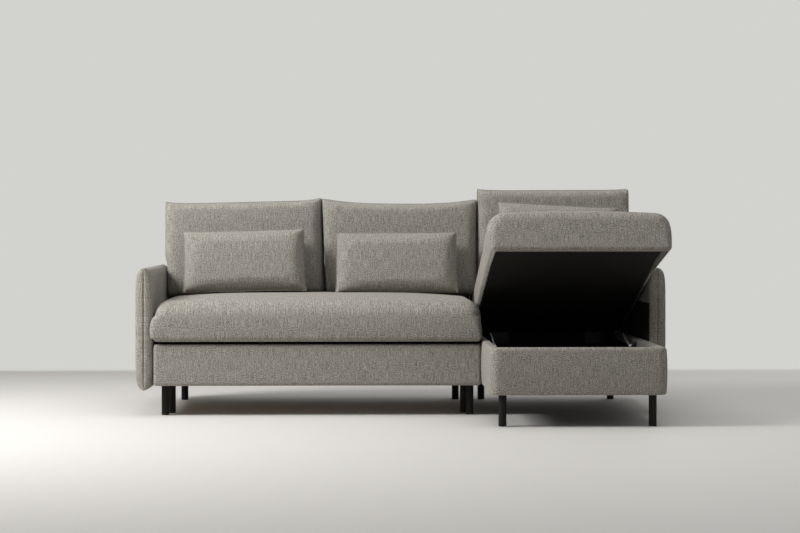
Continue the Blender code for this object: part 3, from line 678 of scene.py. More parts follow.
@dataclass
class KnifeEdgePad(Pad):
    """Two panels sewn together round their edge: an arm, a back cushion or a pillow.

    roll is how wide the panels' round edges are along X and Y, and power how sharp they are. Between
    the ears at its corners the seam is drawn in at the sides, the bottom and the top. The ears are
    thinner by the share pinch, and corner is how far their points are rounded off. lip is the width
    of the flange along the seam, and lip_rise half its thickness. seam_ahead is how far the seam sits
    in front of the middle. groove_rows are where a groove gets rows of its own, as angles from the
    seam in radians.
    """

    size: Pair = (0.5, 0.5)
    thickness: float = 0.1
    roll: Pair = (0.1, 0.1)
    power: float = 1.0
    draw_in: Triple = (0.0, 0.0, 0.0)
    ear: float = 4.0
    pinch: float = 0.0
    pinch_reach: float = 0.06
    corner: float = 0.0
    corner_power: int = 30
    taper: float = 0.0
    crown: float = 0.1
    groove: float = 0.0
    groove_width: float = 0.0012
    groove_rows: Sequence[float] = (0.16, 0.10, 0.06, 0.03)
    pucker: float = 0.0
    pucker_reach: float = 0.035
    pucker_pitch: float = 0.028
    lip: float = 0.0
    lip_rise: float = 0.0
    seam_ahead: float = 0.0
    cell: float = 0.009

    def form(self) -> SoftMesh:
        """Two panels that meet in a seam, its corners drawn out to ears.

        Returns:
            The form.
        """
        ways = [
            self.edge(edge_rows(length, roll, self.cell), length / 2, roll)
            for length, roll in zip(self.size, self.roll)
        ]
        grids = [np.meshgrid(*pair, indexing="ij") for pair in zip(*ways)]
        (x, y), (rise_x, rise_y), (from_side, from_end), (waves_x, waves_y) = grids
        share_x, share_y = 2 * x / self.size[0], 2 * y / self.size[1]
        sides, bottom, top = self.draw_in
        pull_x = sides * np.abs(share_x) ** 3
        pull_x = pull_x + self.groove * np.exp(-((from_side / self.groove_width) ** 2))
        pull_y = np.where(y > 0, top, bottom) * share_y**2
        pull_y = pull_y + self.groove * np.exp(-((from_end / self.groove_width) ** 2))
        dome = 1 - self.crown + self.crown * (1 - share_x**2) * (1 - share_y**2)
        gathers = waves_y * np.exp(-from_side / self.pucker_reach)
        gathers = gathers + waves_x * np.exp(-from_end / self.pucker_reach)
        thin = 1 - self.pinch * np.exp(-np.hypot(from_side, from_end) / self.pinch_reach)
        z = (self.thickness / 2 * dome * thin + self.pucker * gathers) * rise_x * rise_y
        z = np.maximum(z, np.where((from_side > 0) & (from_end > 0), self.lip_rise, 0.0))
        blunt = self.corner * np.abs(share_x * share_y) ** self.corner_power
        x = x - np.sign(x) * (pull_x * (1 - np.abs(share_y) ** self.ear) + blunt)
        x = x * (1 - self.taper * (1 + share_y) / 2)
        y = y - np.sign(y) * (pull_y * (1 - np.abs(share_x) ** self.ear) + blunt)
        return self.sew(np.stack((x, y, z), -1))

    def edge(self, ticks: Array, half: float, roll: float) -> tuple[Array, Array, Array, Array]:
        """Lay rows of points over a panel and its round edges.

        Args:
            ticks: Rows from -1 to 1, those past 0.5 on the round edges.
            half: Half of the panel's length.
            roll: Width of its round edges.

        Returns:
            Where each row is, how far it has risen from the seam, how far it is from the seam over
            the cloth, and a wave for gathers along a seam that crosses the rows.
        """
        inner = half - self.lip
        if self.groove:
            beside = 1 - np.array(self.groove_rows) / math.pi
            ticks = np.sort(np.concatenate((ticks, beside, -beside)))
        angle = np.clip(2 * (1 - np.abs(ticks)), 0, 1) * math.pi / 2
        flat = np.minimum(1, 2 * np.abs(ticks)) * (inner - roll)
        place = np.sign(ticks) * (flat + roll * np.cos(angle) ** self.power * (np.abs(ticks) > 0.5))
        rise = np.maximum(0, 1 - np.abs(place / inner) ** (2 * inner / roll)) ** (self.power / 2)
        from_seam = roll * angle + inner - roll - flat
        if self.lip:
            place = np.concatenate(([-half], place, [half]))
            rise = np.pad(rise, 1)
            from_seam = np.pad(from_seam + self.lip, 1)
        spots = place / self.pucker_pitch + self.seed + half
        waves = np.array([noise.noise((spot, 0.0, 0.0)) for spot in spots])
        return place, rise, from_seam, waves

    def sew(self, panel: Array) -> SoftMesh:
        """Join a panel, a grid of points, to its mirror image along the seam.

        Args:
            panel: The grid of points over one side.

        Returns:
            The form of both sides.
        """
        rows, columns = panel.shape[:2]
        count = rows * columns
        front = np.arange(count).reshape(rows, columns)
        back = front.copy()
        back[1:-1, 1:-1] = count + np.arange((rows - 2) * (columns - 2)).reshape(rows - 2, columns - 2)
        ahead = 2 * self.seam_ahead / self.thickness
        points = np.concatenate((panel.reshape(-1, 3), panel[1:-1, 1:-1].reshape(-1, 3)))
        points[:count, 2] *= 1 - ahead
        points[count:, 2] *= -1 - ahead
        points[:, 2] += self.seam_ahead
        sides = (
            (front[:-1, :-1], front[1:, :-1], front[1:, 1:], front[:-1, 1:]),
            (back[:-1, :-1], back[:-1, 1:], back[1:, 1:], back[1:, :-1]),
        )
        faces = np.concatenate([np.stack(corners, -1).reshape(-1, 4) for corners in sides])
        seam = np.concatenate((front[:-1, 0], front[-1, :-1], front[:0:-1, -1], front[0, :0:-1]))
        held = [seam]
        if self.lip:
            rim = np.zeros((rows, columns), bool)
            rim[[1, -2], 1:-1] = True
            rim[1:-1, [1, -2]] = True
            held += [front[rim], back[rim]]
        cut = np.stack([unrolled(panel, axis) for axis in (0, 1)], -1)
        cut = np.concatenate((cut.reshape(-1, 2), cut[1:-1, 1:-1].reshape(-1, 2))) + self.seed
        if self.turn is STAND_FACING_X:
            cut = cut[:, ::-1]
        return SoftMesh(points, faces, cut[faces], seam, np.concatenate(held))

    def seam_line(self) -> Array:
        """The seam's points on the finished pad."""
        return self.soft.points[self.soft.seam]


@dataclass
class BoxedPad(Pad):
    """A block of padding in a cover: the seat, the lid, the mattress and the upholstered panels.

    rise is how far the block goes below and above its origin, and edges the rounding below and above.
    """

    size: Pair = (1.0, 1.0)
    rise: Pair = (0.05, 0.05)
    edges: Pair = (0.02, 0.02)
    crown: float = 0.0
    cell: float = 0.014
    hem: float = 0.0
    hem_depth: float = 0.0035
    hem_width: float = 0.0035
    hem_zone: Pair = (0.8, 0.95)
    hem_side: float = 0.9
    stitch_rise: float = 0.0012

    def rows(self) -> list[Array]:
        """Rows of points along the three sides, close together round the edges."""
        lengths = (*self.size, sum(self.rise))
        return [edge_rows(length, max(self.edges), self.cell, turn=0.25) for length in lengths]

    def form(self) -> SoftMesh:
        """A block with rounded edges and a swelling top.

        Returns:
            The form.
        """
        grid, faces, sides = cube_grid(self.rows())
        points = self.place(grid)
        ways = np.array(((1, 2), (0, 2), (0, 1)))[sides]
        cloth = np.take_along_axis(points[faces], ways[:, None, :], 2)
        held = np.flatnonzero(grid[:, 2] < UNDERSIDE)
        return SoftMesh(points, faces, cloth + self.seed, held=held)

    def place(self, grid: Array) -> Array:
        """Points of a 2 x 2 x 2 cube, laid on the block.

        Args:
            grid: Points of the cube.

        Returns:
            Points of the block.
        """
        half = np.array(self.size) / 2
        share = np.clip(grid[:, 2] + 0.5, 0, 1)
        radius = (self.edges[0] + (self.edges[1] - self.edges[0]) * share)[:, None]
        top = np.where(grid[:, 2] > 0, self.rise[1] - self.crown, self.rise[0])
        reach = np.column_stack((np.tile(half, (len(grid), 1)), top))
        part, sign = np.abs(grid), np.where(grid < 0, -1.0, 1.0)
        core = sign * (reach - radius) * np.minimum(1, 2 * part)
        lean = sign * np.tan(np.pi / 2 * np.maximum(0, part - 0.5))
        length = np.linalg.norm(lean, axis=1, keepdims=True)
        spots = core + lean / np.maximum(length, TINY) * radius
        bulge = self.bulge(spots[:, 0] / half[0], spots[:, 1] / half[1])
        spots[:, 2] += self.crown * bulge * np.clip(2 * grid[:, 2], 0, 1)
        return self.pinch(spots, half) if self.hem else spots

    def bulge(self, across: Array, along: Array) -> Array:
        """How far the top has swelled, from 0 at its edges to 1."""
        return (1 - across**2) * (1 - along**2)

    def pinch(self, spots: Array, half: Array) -> Array:
        """Draw the sides in along the hem, above the bottom edge.

        Args:
            spots: Points of the block.
            half: Half of its width and depth.

        Returns:
            The moved points.
        """
        line = -self.rise[0] + self.hem
        depth = self.hem_depth * np.exp(-(((spots[:, 2] - line) / self.hem_width) ** 2))
        inward = spots[:, :2] / half
        depth = depth * fade(*self.hem_zone, np.abs(inward).max(1))
        inward = np.where(np.abs(inward) > self.hem_side, np.sign(inward), 0.0)
        spots[:, :2] -= inward * depth[:, None]
        return spots

    def hem_line(self) -> Array:
        """A line round the sides along the hem, for stitches that stand a little proud of the pinch.

        Returns:
            The line's points on the sofa.
        """
        corner = self.edges[0]
        lift = max(0.0, corner - self.hem)
        back = corner - math.sqrt(max(0.0, corner**2 - lift**2))
        inset = back + self.hem_depth - self.stitch_rise
        width, depth = (length - 2 * inset for length in self.size)
        outline = rounded_outline(width, depth, corner, self.cell)
        points = np.column_stack((outline, np.full(len(outline), self.hem - self.rise[0])))
        return turn_points(points, self.turn, self.centre())


def edge_rows(length: float, radius: float, cell: float, turn: float = 0.5) -> Array:
    """Rows from -1 to 1 along one side of a pad, those past 0.5 on its round edges.

    Args:
        length: Length of the side.
        radius: Rounding of its edges.
        cell: Distance between rows where the side is flat.
        turn: Share of a half turn that each round edge takes.

    Returns:
        The rows.
    """
    turn_cells = max(LEAST_CELLS, round(radius * math.pi * turn / (ROUND_CELL * cell)))
    flat_cells = max(LEAST_CELLS, round((length - 2 * radius) / cell))
    first = np.linspace(-1, -0.5, turn_cells, endpoint=False)
    flat = np.linspace(-0.5, 0.5, flat_cells, endpoint=False)
    return np.concatenate((first, flat, np.linspace(0.5, 1, turn_cells + 1)))


def unrolled(panel: Array, axis: int) -> Array:
    """Distances over a grid of points along one of its ways, from its middle row.

    Args:
        panel: The grid of points.
        axis: The way to go, 0 or 1.

    Returns:
        A distance for each point.
    """
    steps = np.linalg.norm(np.diff(panel, axis=axis), axis=-1)
    lengths = np.concatenate((np.zeros_like(np.take(steps, [0], axis)), np.cumsum(steps, axis)), axis)
    return lengths - np.take(lengths, [lengths.shape[axis] // 2], axis)


def cube_grid(rows: Sequence[Array]) -> tuple[Array, Array, Array]:
    """The surface of a cube, cut along given rows.

    Args:
        rows: Where each of the three sides is cut.

    Returns:
        The points, the four-cornered faces and the axis that each face is square to.
    """
    found: dict[tuple[int, ...], int] = {}
    faces: list[list[int]] = []
    sides: list[int] = []
    for axis in range(3):
        first, second = (axis + 1) % 3, (axis + 2) % 3
        for end in (0, len(rows[axis]) - 1):
            for i in range(len(rows[first]) - 1):
                for j in range(len(rows[second]) - 1):
                    corners = [(i, j), (i + 1, j), (i + 1, j + 1), (i, j + 1)]
                    if end == 0:
                        corners.reverse()
                    spots = [{axis: end, first: p, second: q} for p, q in corners]
                    keys = [(spot[0], spot[1], spot[2]) for spot in spots]
                    faces.append([found.setdefault(key, len(found)) for key in keys])
                    sides.append(axis)
    points = [[row[place] for row, place in zip(rows, key)] for key in found]
    return np.array(points), np.array(faces), np.array(sides)


def rounded_outline(width: float, depth: float, corner: float, step: float) -> Array:
    """A closed rectangle with round corners, as points a step apart.

    Args:
        width: Its width.
        depth: Its depth.
        corner: Rounding of its corners.
        step: Distance between points.

    Returns:
        The outline's points.
    """
    turns = max(LEAST_TURNS, round(corner * math.pi / 2 / step))
    outline = []
    for quarter, (sx, sy) in enumerate(((1, 1), (-1, 1), (-1, -1), (1, -1))):
        angle = np.linspace(quarter, quarter + 1, turns + 1) * math.pi / 2
        x = sx * (width / 2 - corner) + corner * np.cos(angle)
        y = sy * (depth / 2 - corner) + corner * np.sin(angle)
        outline.append(np.column_stack((x, y)))
    return np.concatenate(outline)


@dataclass(frozen=True)
class Filling:
    """How the pads are filled out: a cloth simulation under pressure, with its reach capped."""

    pressure: float = 3.0
    frames: int = 20
    quality: int = 4
    mass: float = 0.3
    spare: float = 0.012
    stiffness: float = 20.0
    shear: float = 5.0
    bending: float = 3.0
    damping: float = 12.0
    evening: int = 12

    def fill(self, pads: Sequence[Pad]) -> None:
        """Fill all the pads that swell, side by side, and keep the result in their meshes.

        Args:
            pads: All the pads.
        """
        swelling = [pad for pad in pads if pad.swell > 0]
        if not swelling:
            return
        for pad in swelling:
            self.load(pad)
        scene = bpy.context.scene
        for step in range(1, self.frames + 1):
            scene.frame_set(step)
        depsgraph = bpy.context.evaluated_depsgraph_get()
        for pad in swelling:
            filled = coordinates(pad.obj.evaluated_get(depsgraph).data)
            pad.obj.modifiers.clear()
            start = pad.soft.points
            travel = self.even(pad, filled - start)
            length = np.linalg.norm(travel, axis=1, keepdims=True)
            capped = start + travel * np.minimum(1.0, pad.swell / np.maximum(length, TINY))
            pad.obj.data.vertices.foreach_set("co", capped.reshape(-1))
            LOG.info("%s filled, up to %.1f mm", pad.name, 1000 * float(length.max()))
        scene.frame_set(1)

    def even(self, pad: Pad, travel: Array) -> Array:
        """Average the points' travel with their neighbours', so that no small creases are left.

        Args:
            pad: The pad that was filled.
            travel: How far each of its points moved.

        Returns:
            The evened travel.
        """
        first, second = edge_ends(pad.obj.data).T
        near, far = np.concatenate((first, second)), np.concatenate((second, first))
        count = np.bincount(near, minlength=len(travel))
        for _ in range(self.evening):
            sums = [np.bincount(near, travel[far, axis], len(travel)) for axis in range(3)]
            travel = np.stack(sums, -1) / count[:, None]
            travel[pad.soft.held] = 0.0
        return travel

    def load(self, pad: Pad) -> None:
        """Put the cloth simulation on one pad, held at its seam or its base.

        Args:
            pad: The pad to fill.
        """
        held = pad.obj.vertex_groups.new(name="held")
        held.add(pad.soft.held.tolist(), 1.0, "REPLACE")
        cloth = pad.obj.modifiers.new("filling", "CLOTH")
        settings = cloth.settings
        settings.quality = self.quality
        settings.mass = self.mass
        settings.air_damping = self.damping
        settings.tension_stiffness = self.stiffness
        settings.compression_stiffness = self.stiffness
        settings.shear_stiffness = self.shear
        settings.bending_stiffness = self.bending
        settings.shrink_min = -self.spare
        settings.use_pressure = True
        settings.uniform_pressure_force = self.pressure
        settings.vertex_group_mass = held.name
        settings.effector_weights.gravity = 0.0
        cloth.collision_settings.use_collision = False
        cloth.point_cache.frame_start = 1
        cloth.point_cache.frame_end = self.frames


@dataclass
class ArmPads:
    """The two slim arms, each two panels with a welted seam round the edge."""

    thickness: float = 0.073
    outward: float = 0.003
    edges: Pair = (0.034, 0.016)
    welt: float = 0.0012
    lining_rise: float = -0.015
    lining_depth: float = 0.004

    def pads(self) -> list[KnifeEdgePad]:
        """Both arms.

        Returns:
            The left arm and the right one.
        """
        made = []
        for side, facing, seed in (("left", -1.0, 0.3), ("right", 1.0, 1.9)):
            low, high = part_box(f"{side}_arm")
            pad = KnifeEdgePad(
                f"arm_cover_{side}",
                f"{side}_arm",
                Body.SOFA,
                STAND_FACING_X,
                fill=0.9,
                seed=seed,
                shift=(facing * self.outward, 0.0, 0.0),
                size=(high.z - low.z, high.y - low.y),
                thickness=self.thickness,
                roll=self.edges,
                power=0.92,
                draw_in=(0.002, 0.002, 0.002),
                ear=9.0,
                pinch=0.7,
                pinch_reach=0.03,
                corner=0.001,
                crown=0.0,
                groove=0.005,
                pucker=0.0010,
                cell=0.010,
            )
            made.append(pad)
        return made

    def line(self, pad: KnifeEdgePad, finishes: Finishes) -> None:
        """Line the part of an arm's inner side that the closed lid hides.

        Args:
            pad: The arm beside the lid.
            finishes: The sofa's materials.
        """
        mesh = pad.obj.data
        mesh.materials.append(finishes[Finish.LINING])
        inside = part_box(pad.node)[0].x + self.lining_depth
        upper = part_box("seat_cushion")[1].z + self.lining_rise
        for face in mesh.polygons:
            face.material_index = int(face.center.x < inside and face.center.z < upper)


@dataclass
class BackCushion(KnifeEdgePad):
    """A back cushion, whose outer side swells over the top of the arm beside it."""

    overhang: float = 0.011
    above_arm: Pair = (0.59, 0.65)

    def shape(self, points: Array) -> Array:
        """Flatten the cushion where it rests, and let it swell out above the arm.

        Args:
            points: The filled pad's points on the sofa.

        Returns:
            The moved points.
        """
        points = super().shape(points)
        middle, half = self.centre().x, self.size[0] / 2
        if abs(middle) < half:
            return points
        outward = math.copysign(1.0, middle)
        reach = np.clip((points[:, 0] - middle) * outward / half, 0, 1)
        points[:, 0] += outward * self.overhang * fade(*self.above_arm, points[:, 2]) * reach**3
        return points


@dataclass
class CushionPads:
    """The loose back cushions and lumbar pillows."""

    back_size: Pair = (0.694, 0.426)
    back_thickness: float = 0.1645
    back_lean: float = 3.0
    back_welt: float = 0.0014
    pillow_size: Pair = (0.534, 0.274)
    pillow_thickness: float = 0.1196
    pillow_lean: float = 10.0
    pillow_lift: float = -0.007
    pillow_welt: float = 0.0016
    lid_pillow_height: float = 0.284
    lid_pillow_lean: float = 4.0
    lid_pillow_lift: float = 0.004

    def backs(self, rests: dict[str, Sequence[RestPlane]]) -> list[KnifeEdgePad]:
        """The left, middle and right back cushion, given what each of them rests against.

        Args:
            rests: What each cushion rests against, by its side.

        Returns:
            The cushions.
        """
        made = []
        for side, body, roll, dip, ear, shift, seed in (
            ("left", Body.SOFA, 1.3, 0.016, 9.0, (0.0, 0.0, 0.003), 2.7),
            ("middle", Body.SOFA, -0.3, 0.024, 3.0, (0.006, 0.0, 0.004), 4.1),
            ("right", Body.RAISED_CUSHION, 0.2, 0.010, 9.0, (0.016, 0.0, 0.0078), 5.3),
        ):
            pad = BackCushion(
                f"back_cushion_{side}_cover",
                f"back_cushion_{side}",
                body,
                standing(self.back_lean, roll),
                fill=0.7,
                swell=0.006,
                seed=seed,
                rests=rests[side],
                shift=shift,
                size=self.back_size,
                thickness=self.back_thickness,
                roll=(0.034, 0.014),
                power=0.75,
                draw_in=(0.0, 0.0, dip),
                ear=ear,
                pinch=0.2,
                corner=0.006,
                crown=0.02,
                pucker=0.0015,
                pucker_pitch=0.045,
                lip=0.003,
                lip_rise=0.0018,
                cell=0.010,
            )
            made.append(pad)
        return made

    def pillows(self, seat: RestPlane, on_lid: RestPlane) -> list[KnifeEdgePad]:
        """The three lumbar pillows, the right one on the lid.

        Args:
            seat: What the left and the middle pillow stand on.
            on_lid: What the right pillow stands on.

        Returns:
            The pillows.
        """
        made = []
        width, height = self.pillow_size
        low = (seat, height, self.pillow_lift)
        raised = (on_lid, self.lid_pillow_height, self.lid_pillow_lift)
        on_seat = self.pillow_lean
        for side, body, turn, (rest, tall, lift), seed in (
            ("left", Body.SOFA, standing(on_seat, 1.5), low, 6.2),
            ("middle", Body.SOFA, standing(on_seat, 0.4), low, 7.7),
            ("right", Body.LID, LID_TURN @ standing(self.lid_pillow_lean, -3.2), raised, 8.8),
        ):
            pad = KnifeEdgePad(
                f"pillow_{side}_cover",
                f"pillow_{side}",
                body,
                turn,
                fill=0.6,
                swell=0.009,
                seed=seed,
                rests=(rest,),
                shift=(0.0, 0.0, lift),
                size=(width, tall),
                thickness=self.pillow_thickness,
                roll=(0.040, 0.026),
                power=1.0,
                draw_in=(0.008, 0.006, 0.003),
                ear=6.0,
                pinch=0.3,
                corner=0.003,
                taper=0.012,
                crown=0.10,
                pucker=0.0025,
                pucker_reach=0.022,
                lip=0.006,
                lip_rise=0.0016,
                seam_ahead=0.022,
                cell=0.0085,
            )
            made.append(pad)
        return made


@dataclass
class SeatPad(BoxedPad):
    """The seat of the bed, dented by what stands on it and swelling at its front corners.

    A zone is where a form starts and ends: below the top, outside and inside a pillow's sides, behind
    its front, about the front of the back cushions, or behind and before the seat's own front. The
    zone of the sag is in shares of the seat's height. front_belly is how low and how full the front
    swells.
    """

    top_zone: Pair = (0.05, 0.02)
    dents: Sequence[str] = ()
    dent_depth: float = 0.003
    dent_side_zone: Pair = (-0.03, 0.06)
    dent_front_zone: Pair = (0.02, 0.08)
    rear_drop: float = 0.025
    rear_zone: Pair = (-0.04, 0.005)
    front_swell: float = 0.016
    front_belly: Pair = (0.6, 0.8)
    front_sag: float = 0.006
    front_zone: Pair = (0.05, 0.0)
    sag_zone: Pair = (0.6, 0.1)
    corner_swell: Pair = (0.026, 0.009)
    corner_zone: Pair = (0.024, -0.008)
    corner_power: int = 12

    def bulge(self, across: Array, along: Array) -> Array:
        """How far the top has swelled, nearly alike over most of it."""
        return (1 - across**4) * (1 - along**4)

    def shape(self, points: Array) -> Array:
        """Press the dents, the bed of the back cushions among them, and swell the front.

        Args:
            points: The filled pad's points on the sofa.

        Returns:
            The moved points.
        """
        low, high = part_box(self.node)
        x, y, z = points.T
        top = fade(*(high.z - depth for depth in self.top_zone), z)
        for node in self.dents:
            near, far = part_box(node)
            weight = fade(*(near.x + step for step in self.dent_side_zone), x)
            weight *= fade(*(far.x - step for step in self.dent_side_zone), x)
            weight *= fade(*(near.y + step for step in self.dent_front_zone), y)
            z -= self.dent_depth * weight * top
        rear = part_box("back_cushion_left")[0].y
        z -= self.rear_drop * top * fade(*(rear + step for step in self.rear_zone), y)
        height = (z - low.z) / (high.z - low.z)
        up = np.clip(height, 0, 1)
        ahead = fade(*(low.y + step for step in self.front_zone), y)
        lowness, fullness = self.front_belly
        y -= self.front_swell * ahead * np.sin(up**lowness * math.pi) ** fullness
        z -= self.front_sag * ahead * fade(*self.sag_zone, height)
        side = np.clip((x - (low.x + high.x) / 2) / ((high.x - low.x) / 2), -1, 1)
        ahead = fade(*(low.y + step for step in self.corner_zone), y)
        swell = np.where(side > 0, self.corner_swell[1], -self.corner_swell[0])
        x += swell * ahead * np.sqrt(np.sin(up * math.pi)) * side**self.corner_power
        return points


@dataclass
class LidPad(BoxedPad):
    """The padded lid, drawn a little askew at its front end."""

    flare: Pair = (-0.03, 0.075)
    flare_length: float = 0.36
    side_swell: Pair = (0.016, 0.006)
    side_power: float = 2.5
    end_drop: float = 0.25
    hinge: Triple = (0.0, 0.0, 0.0)
    rear_gap: float = 0.012
    board: float = 0.0128
    rim: float = 0.0025
    lined_from: float = 0.96

    def centre(self) -> Vector:
        """The lid's middle, from its hinge."""
        own = Vector((0, -self.rear_gap - self.size[1] / 2, self.rise[0]))
        return Vector(self.hinge) + self.turn @ own

    def board_reach(self) -> Array:
        """How far the board goes along both sides, on rows from -1 to 1."""
        return 0.5 * (1 - self.rim / (np.array(self.size) / 2 - self.edges[0]))

    def rows(self) -> list[Array]:
        """Rows of points along the three sides, with a narrow one at the rim round the board.

        Returns:
            The rows of each side.
        """
        rows = super().rows()
        for axis, share in enumerate(self.board_reach()):
            rows[axis] = np.sort(np.concatenate((rows[axis], (-share, share))))
        return rows

    def bulge(self, across: Array, along: Array) -> Array:
        """How far the top has swelled: across its whole length, front edge and all."""
        return (1 - np.abs(across) ** self.side_power) * (1 - self.end_drop * along**4)

    def place(self, grid: Array) -> Array:
        """Points of a 2 x 2 x 2 cube, laid on the lid, with room for the board in its underside.

        Args:
            grid: Points of the cube.

        Returns:
            Points of the lid.
        """
        spots = super().place(grid)
        over_board = (np.abs(grid[:, :2]) <= self.board_reach() + TINY).all(1)
        spots[over_board & (grid[:, 2] < UNDERSIDE), 2] += self.board
        return self.widen(spots)

    def widen(self, spots: Array) -> Array:
        """Widen the front end, and let its sides swell.

        Args:
            spots: Points of the lid.

        Returns:
            The moved points.
        """
        ahead = np.maximum(0, self.flare_length - self.size[1] / 2 - spots[:, 1]) / self.flare_length
        share = np.clip(2 * spots[:, 0] / self.size[0], -1, 1)
        spots[:, 0] *= 1 + np.where(share > 0, self.flare[1], self.flare[0]) * ahead
        height = np.clip((spots[:, 2] + self.rise[0]) / sum(self.rise), 0, 1)
        belly = np.sin(math.pi * height) * ahead**0.5 * share**5
        spots[:, 0] += belly * np.where(share > 0, self.side_swell[1], self.side_swell[0])
        return spots

    def line(self, finishes: Finishes) -> None:
        """Let the lining of the underside reach nearly to its edge.

        Args:
            finishes: The sofa's materials.
        """
        mesh = self.obj.data
        mesh.materials.append(finishes[Finish.LINING])
        down = self.turn @ Vector((0, 0, -1))
        for face in mesh.polygons:
            face.material_index = int(face.normal.dot(down) > self.lined_from)


@dataclass
class QuiltedPad(BoxedPad):
    """The pull-out mattress, quilted in squares from a little below its top."""

    square: float = 0.12
    quilt_depth: float = 0.006
    top_zone: Pair = (0.02, 0.004)

    def shape(self, points: Array) -> Array:
        """Sew the quilting lines into the top.

        Args:
            points: The filled pad's points on the sofa.

        Returns:
            The moved points.
        """
        low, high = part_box(self.node)
        top = fade(*(high.z - depth for depth in self.top_zone), points[:, 2])
        waves = np.abs(np.sin((points[:, :2] - np.array(low[:2])) / self.square * math.pi))
        points[:, 2] -= self.quilt_depth * top * (1 - waves.min(1) ** 0.5)
        return points


@dataclass
class BoxCover:
    """The upholstered walls of the chaise box, one cover round its front and sides."""

    corner: float = 0.034
    inner_corner: float = 0.006
    rim: float = 0.012
    foot: float = 0.010
    wrap: float = 0.022
    wrap_rows: int = 3
    belly: float = 0.004
    belly_share: float = 0.01
    fill: float = 0.95
    cell: float = 0.014
    round_cells: int = 6

    def outline(
        self, sides: Pair, front: float, rear: float, corner: float, cells: tuple[int, int]
    ) -> Array:
        """The plan of one face of the walls, from the left rear end round to the right rear end.

        Args:
            sides: Where its left and right sides are.
            front: Where its front is.
            rear: Where its sides end.
            corner: Rounding of its two corners.
            cells: Number of faces along a side and along the front.

        Returns:
            The plan's points.
        """
        left, right = sides
        side_cells, front_cells = cells
        turn = np.linspace(0, math.pi / 2, 2 * self.round_cells, endpoint=False)
        cos, sin = corner * np.cos(turn), corner * np.sin(turn)
        across = np.linspace(left + corner, right - corner, front_cells, endpoint=False)
        start = front + corner
        side = np.linspace(rear, start, side_cells + 1)
        lefts, rights = np.full(side_cells, left), np.full(side_cells + 1, right)
        x = np.concatenate((lefts, left + corner - cos, across, right - corner + sin, rights))
        y = (side[:-1], start - sin, np.full(front_cells, front), start - cos, side[::-1])
        return np.column_stack((x, np.concatenate(y)))

    def profile(self, low: float, high: float, wall: float) -> tuple[Array, int]:
        """A section of the wall as shares of its thickness and heights, and where the lining starts.

        Args:
            low: Height of the wall's foot.
            high: Height of its rim.
            wall: Its thickness.

        Returns:
            The section, and its row from which the faces are lined.
        """
        turn = np.linspace(0, math.pi / 2, self.round_cells, endpoint=False)
        cos, sin = 1 - np.cos(turn), 1 - np.sin(turn)
        face_cells = round((high - low) / self.cell)
        face = np.linspace(low + self.foot, high - self.rim, face_cells, endpoint=False)
        wrap_end = high - self.rim - self.wrap
        wrapped = np.linspace(high - self.rim, wrap_end, self.wrap_rows)
        lined = np.linspace(wrap_end, low, face_cells)[1:]
        inside = np.full(len(wrapped) + len(lined), wall)
        depth = (self.foot * sin, 0 * face, self.rim * cos, wall - self.rim * sin, inside)
        outside = (low + self.foot * cos, face, high - self.rim * sin)
        height = (*outside, high - self.rim * cos, wrapped, lined)
        section = np.column_stack((np.concatenate(depth) / wall, np.concatenate(height)))
        return section, len(section) - len(lined) - 1

    def build(self, finishes: Finishes) -> None:
        """Make the cover in place of the three walls.

        Args:
            finishes: The sofa's materials.
        """
        low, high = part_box("chaise_front_wall")
        left_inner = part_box("chaise_left_wall")[1].x
        right_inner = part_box("chaise_right_wall")[0].x
        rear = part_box("chaise_left_wall")[1].y
        cells = (round((rear - low.y) / self.cell), round((high.x - low.x) / self.cell))
        outer = self.outline((low.x, high.x), low.y, rear, self.corner, cells)
        inner = self.outline((left_inner, right_inner), high.y, rear, self.inner_corner, cells)
        section, lining_start = self.profile(low.z, high.z, left_inner - low.x)
        share = section[:, 0][None, :, None]
        plan = outer[:, None, :] * (1 - share) + inner[:, None, :] * share
        away = outer - inner
        away /= np.linalg.norm(away, axis=1, keepdims=True)
        up = (section[:, 1] - low.z) / (high.z - low.z)
        belly = self.belly * np.sin(np.pi * up) * (section[:, 0] < self.belly_share)
        plan = plan + away[:, None, :] * belly[None, :, None]
        heights = np.broadcast_to(section[:, 1][None, :, None], (*plan.shape[:2], 1))
        obj = self.skin(np.concatenate((plan, heights), -1), lining_start)
        for finish in (Finish.WEAVE, Finish.LINING):
            obj.data.materials.append(finishes[finish])
        smoothed(obj)
        hand_over(obj, Body.SOFA)
        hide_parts("chaise_front_wall", "chaise_left_wall", "chaise_right_wall")

    def skin(self, points: Array, lining_start: int) -> bpy.types.Object:
        """Faces over the grid of points, closed along the bottom and at both ends.

        Args:
            points: Grid of points along the walls and round their section.
            lining_start: Row of the section from which the faces are lined.

        Returns:
            The cover's object.
        """
        length, rows = points.shape[:2]
        index = np.arange(length * rows).reshape(length, rows)
        ahead, after = index[:-1], index[1:]
        corners = (ahead, after, np.roll(after, -1, 1), np.roll(ahead, -1, 1))
        faces = np.stack(corners, -1).reshape(-1, 4)
        row_of = np.tile(np.arange(rows), length - 1)
        flat = points.reshape(-1, 3)
        cut = flat[faces]
        across = np.abs(cut[:, 1, :2] - cut[:, 0, :2])
        sideways = (across[:, 1] > across[:, 0])[:, None, None]
        cloth = np.where(sideways, cut[:, :, [1, 2]], cut[:, :, [0, 2]])
        obj = SoftMesh(flat, faces, cloth).to_object("chaise_box_cover")
        obj.data.polygons.foreach_set("material_index", (row_of >= lining_start).astype(np.int32))
        self.cap(obj.data, index)
        return obj

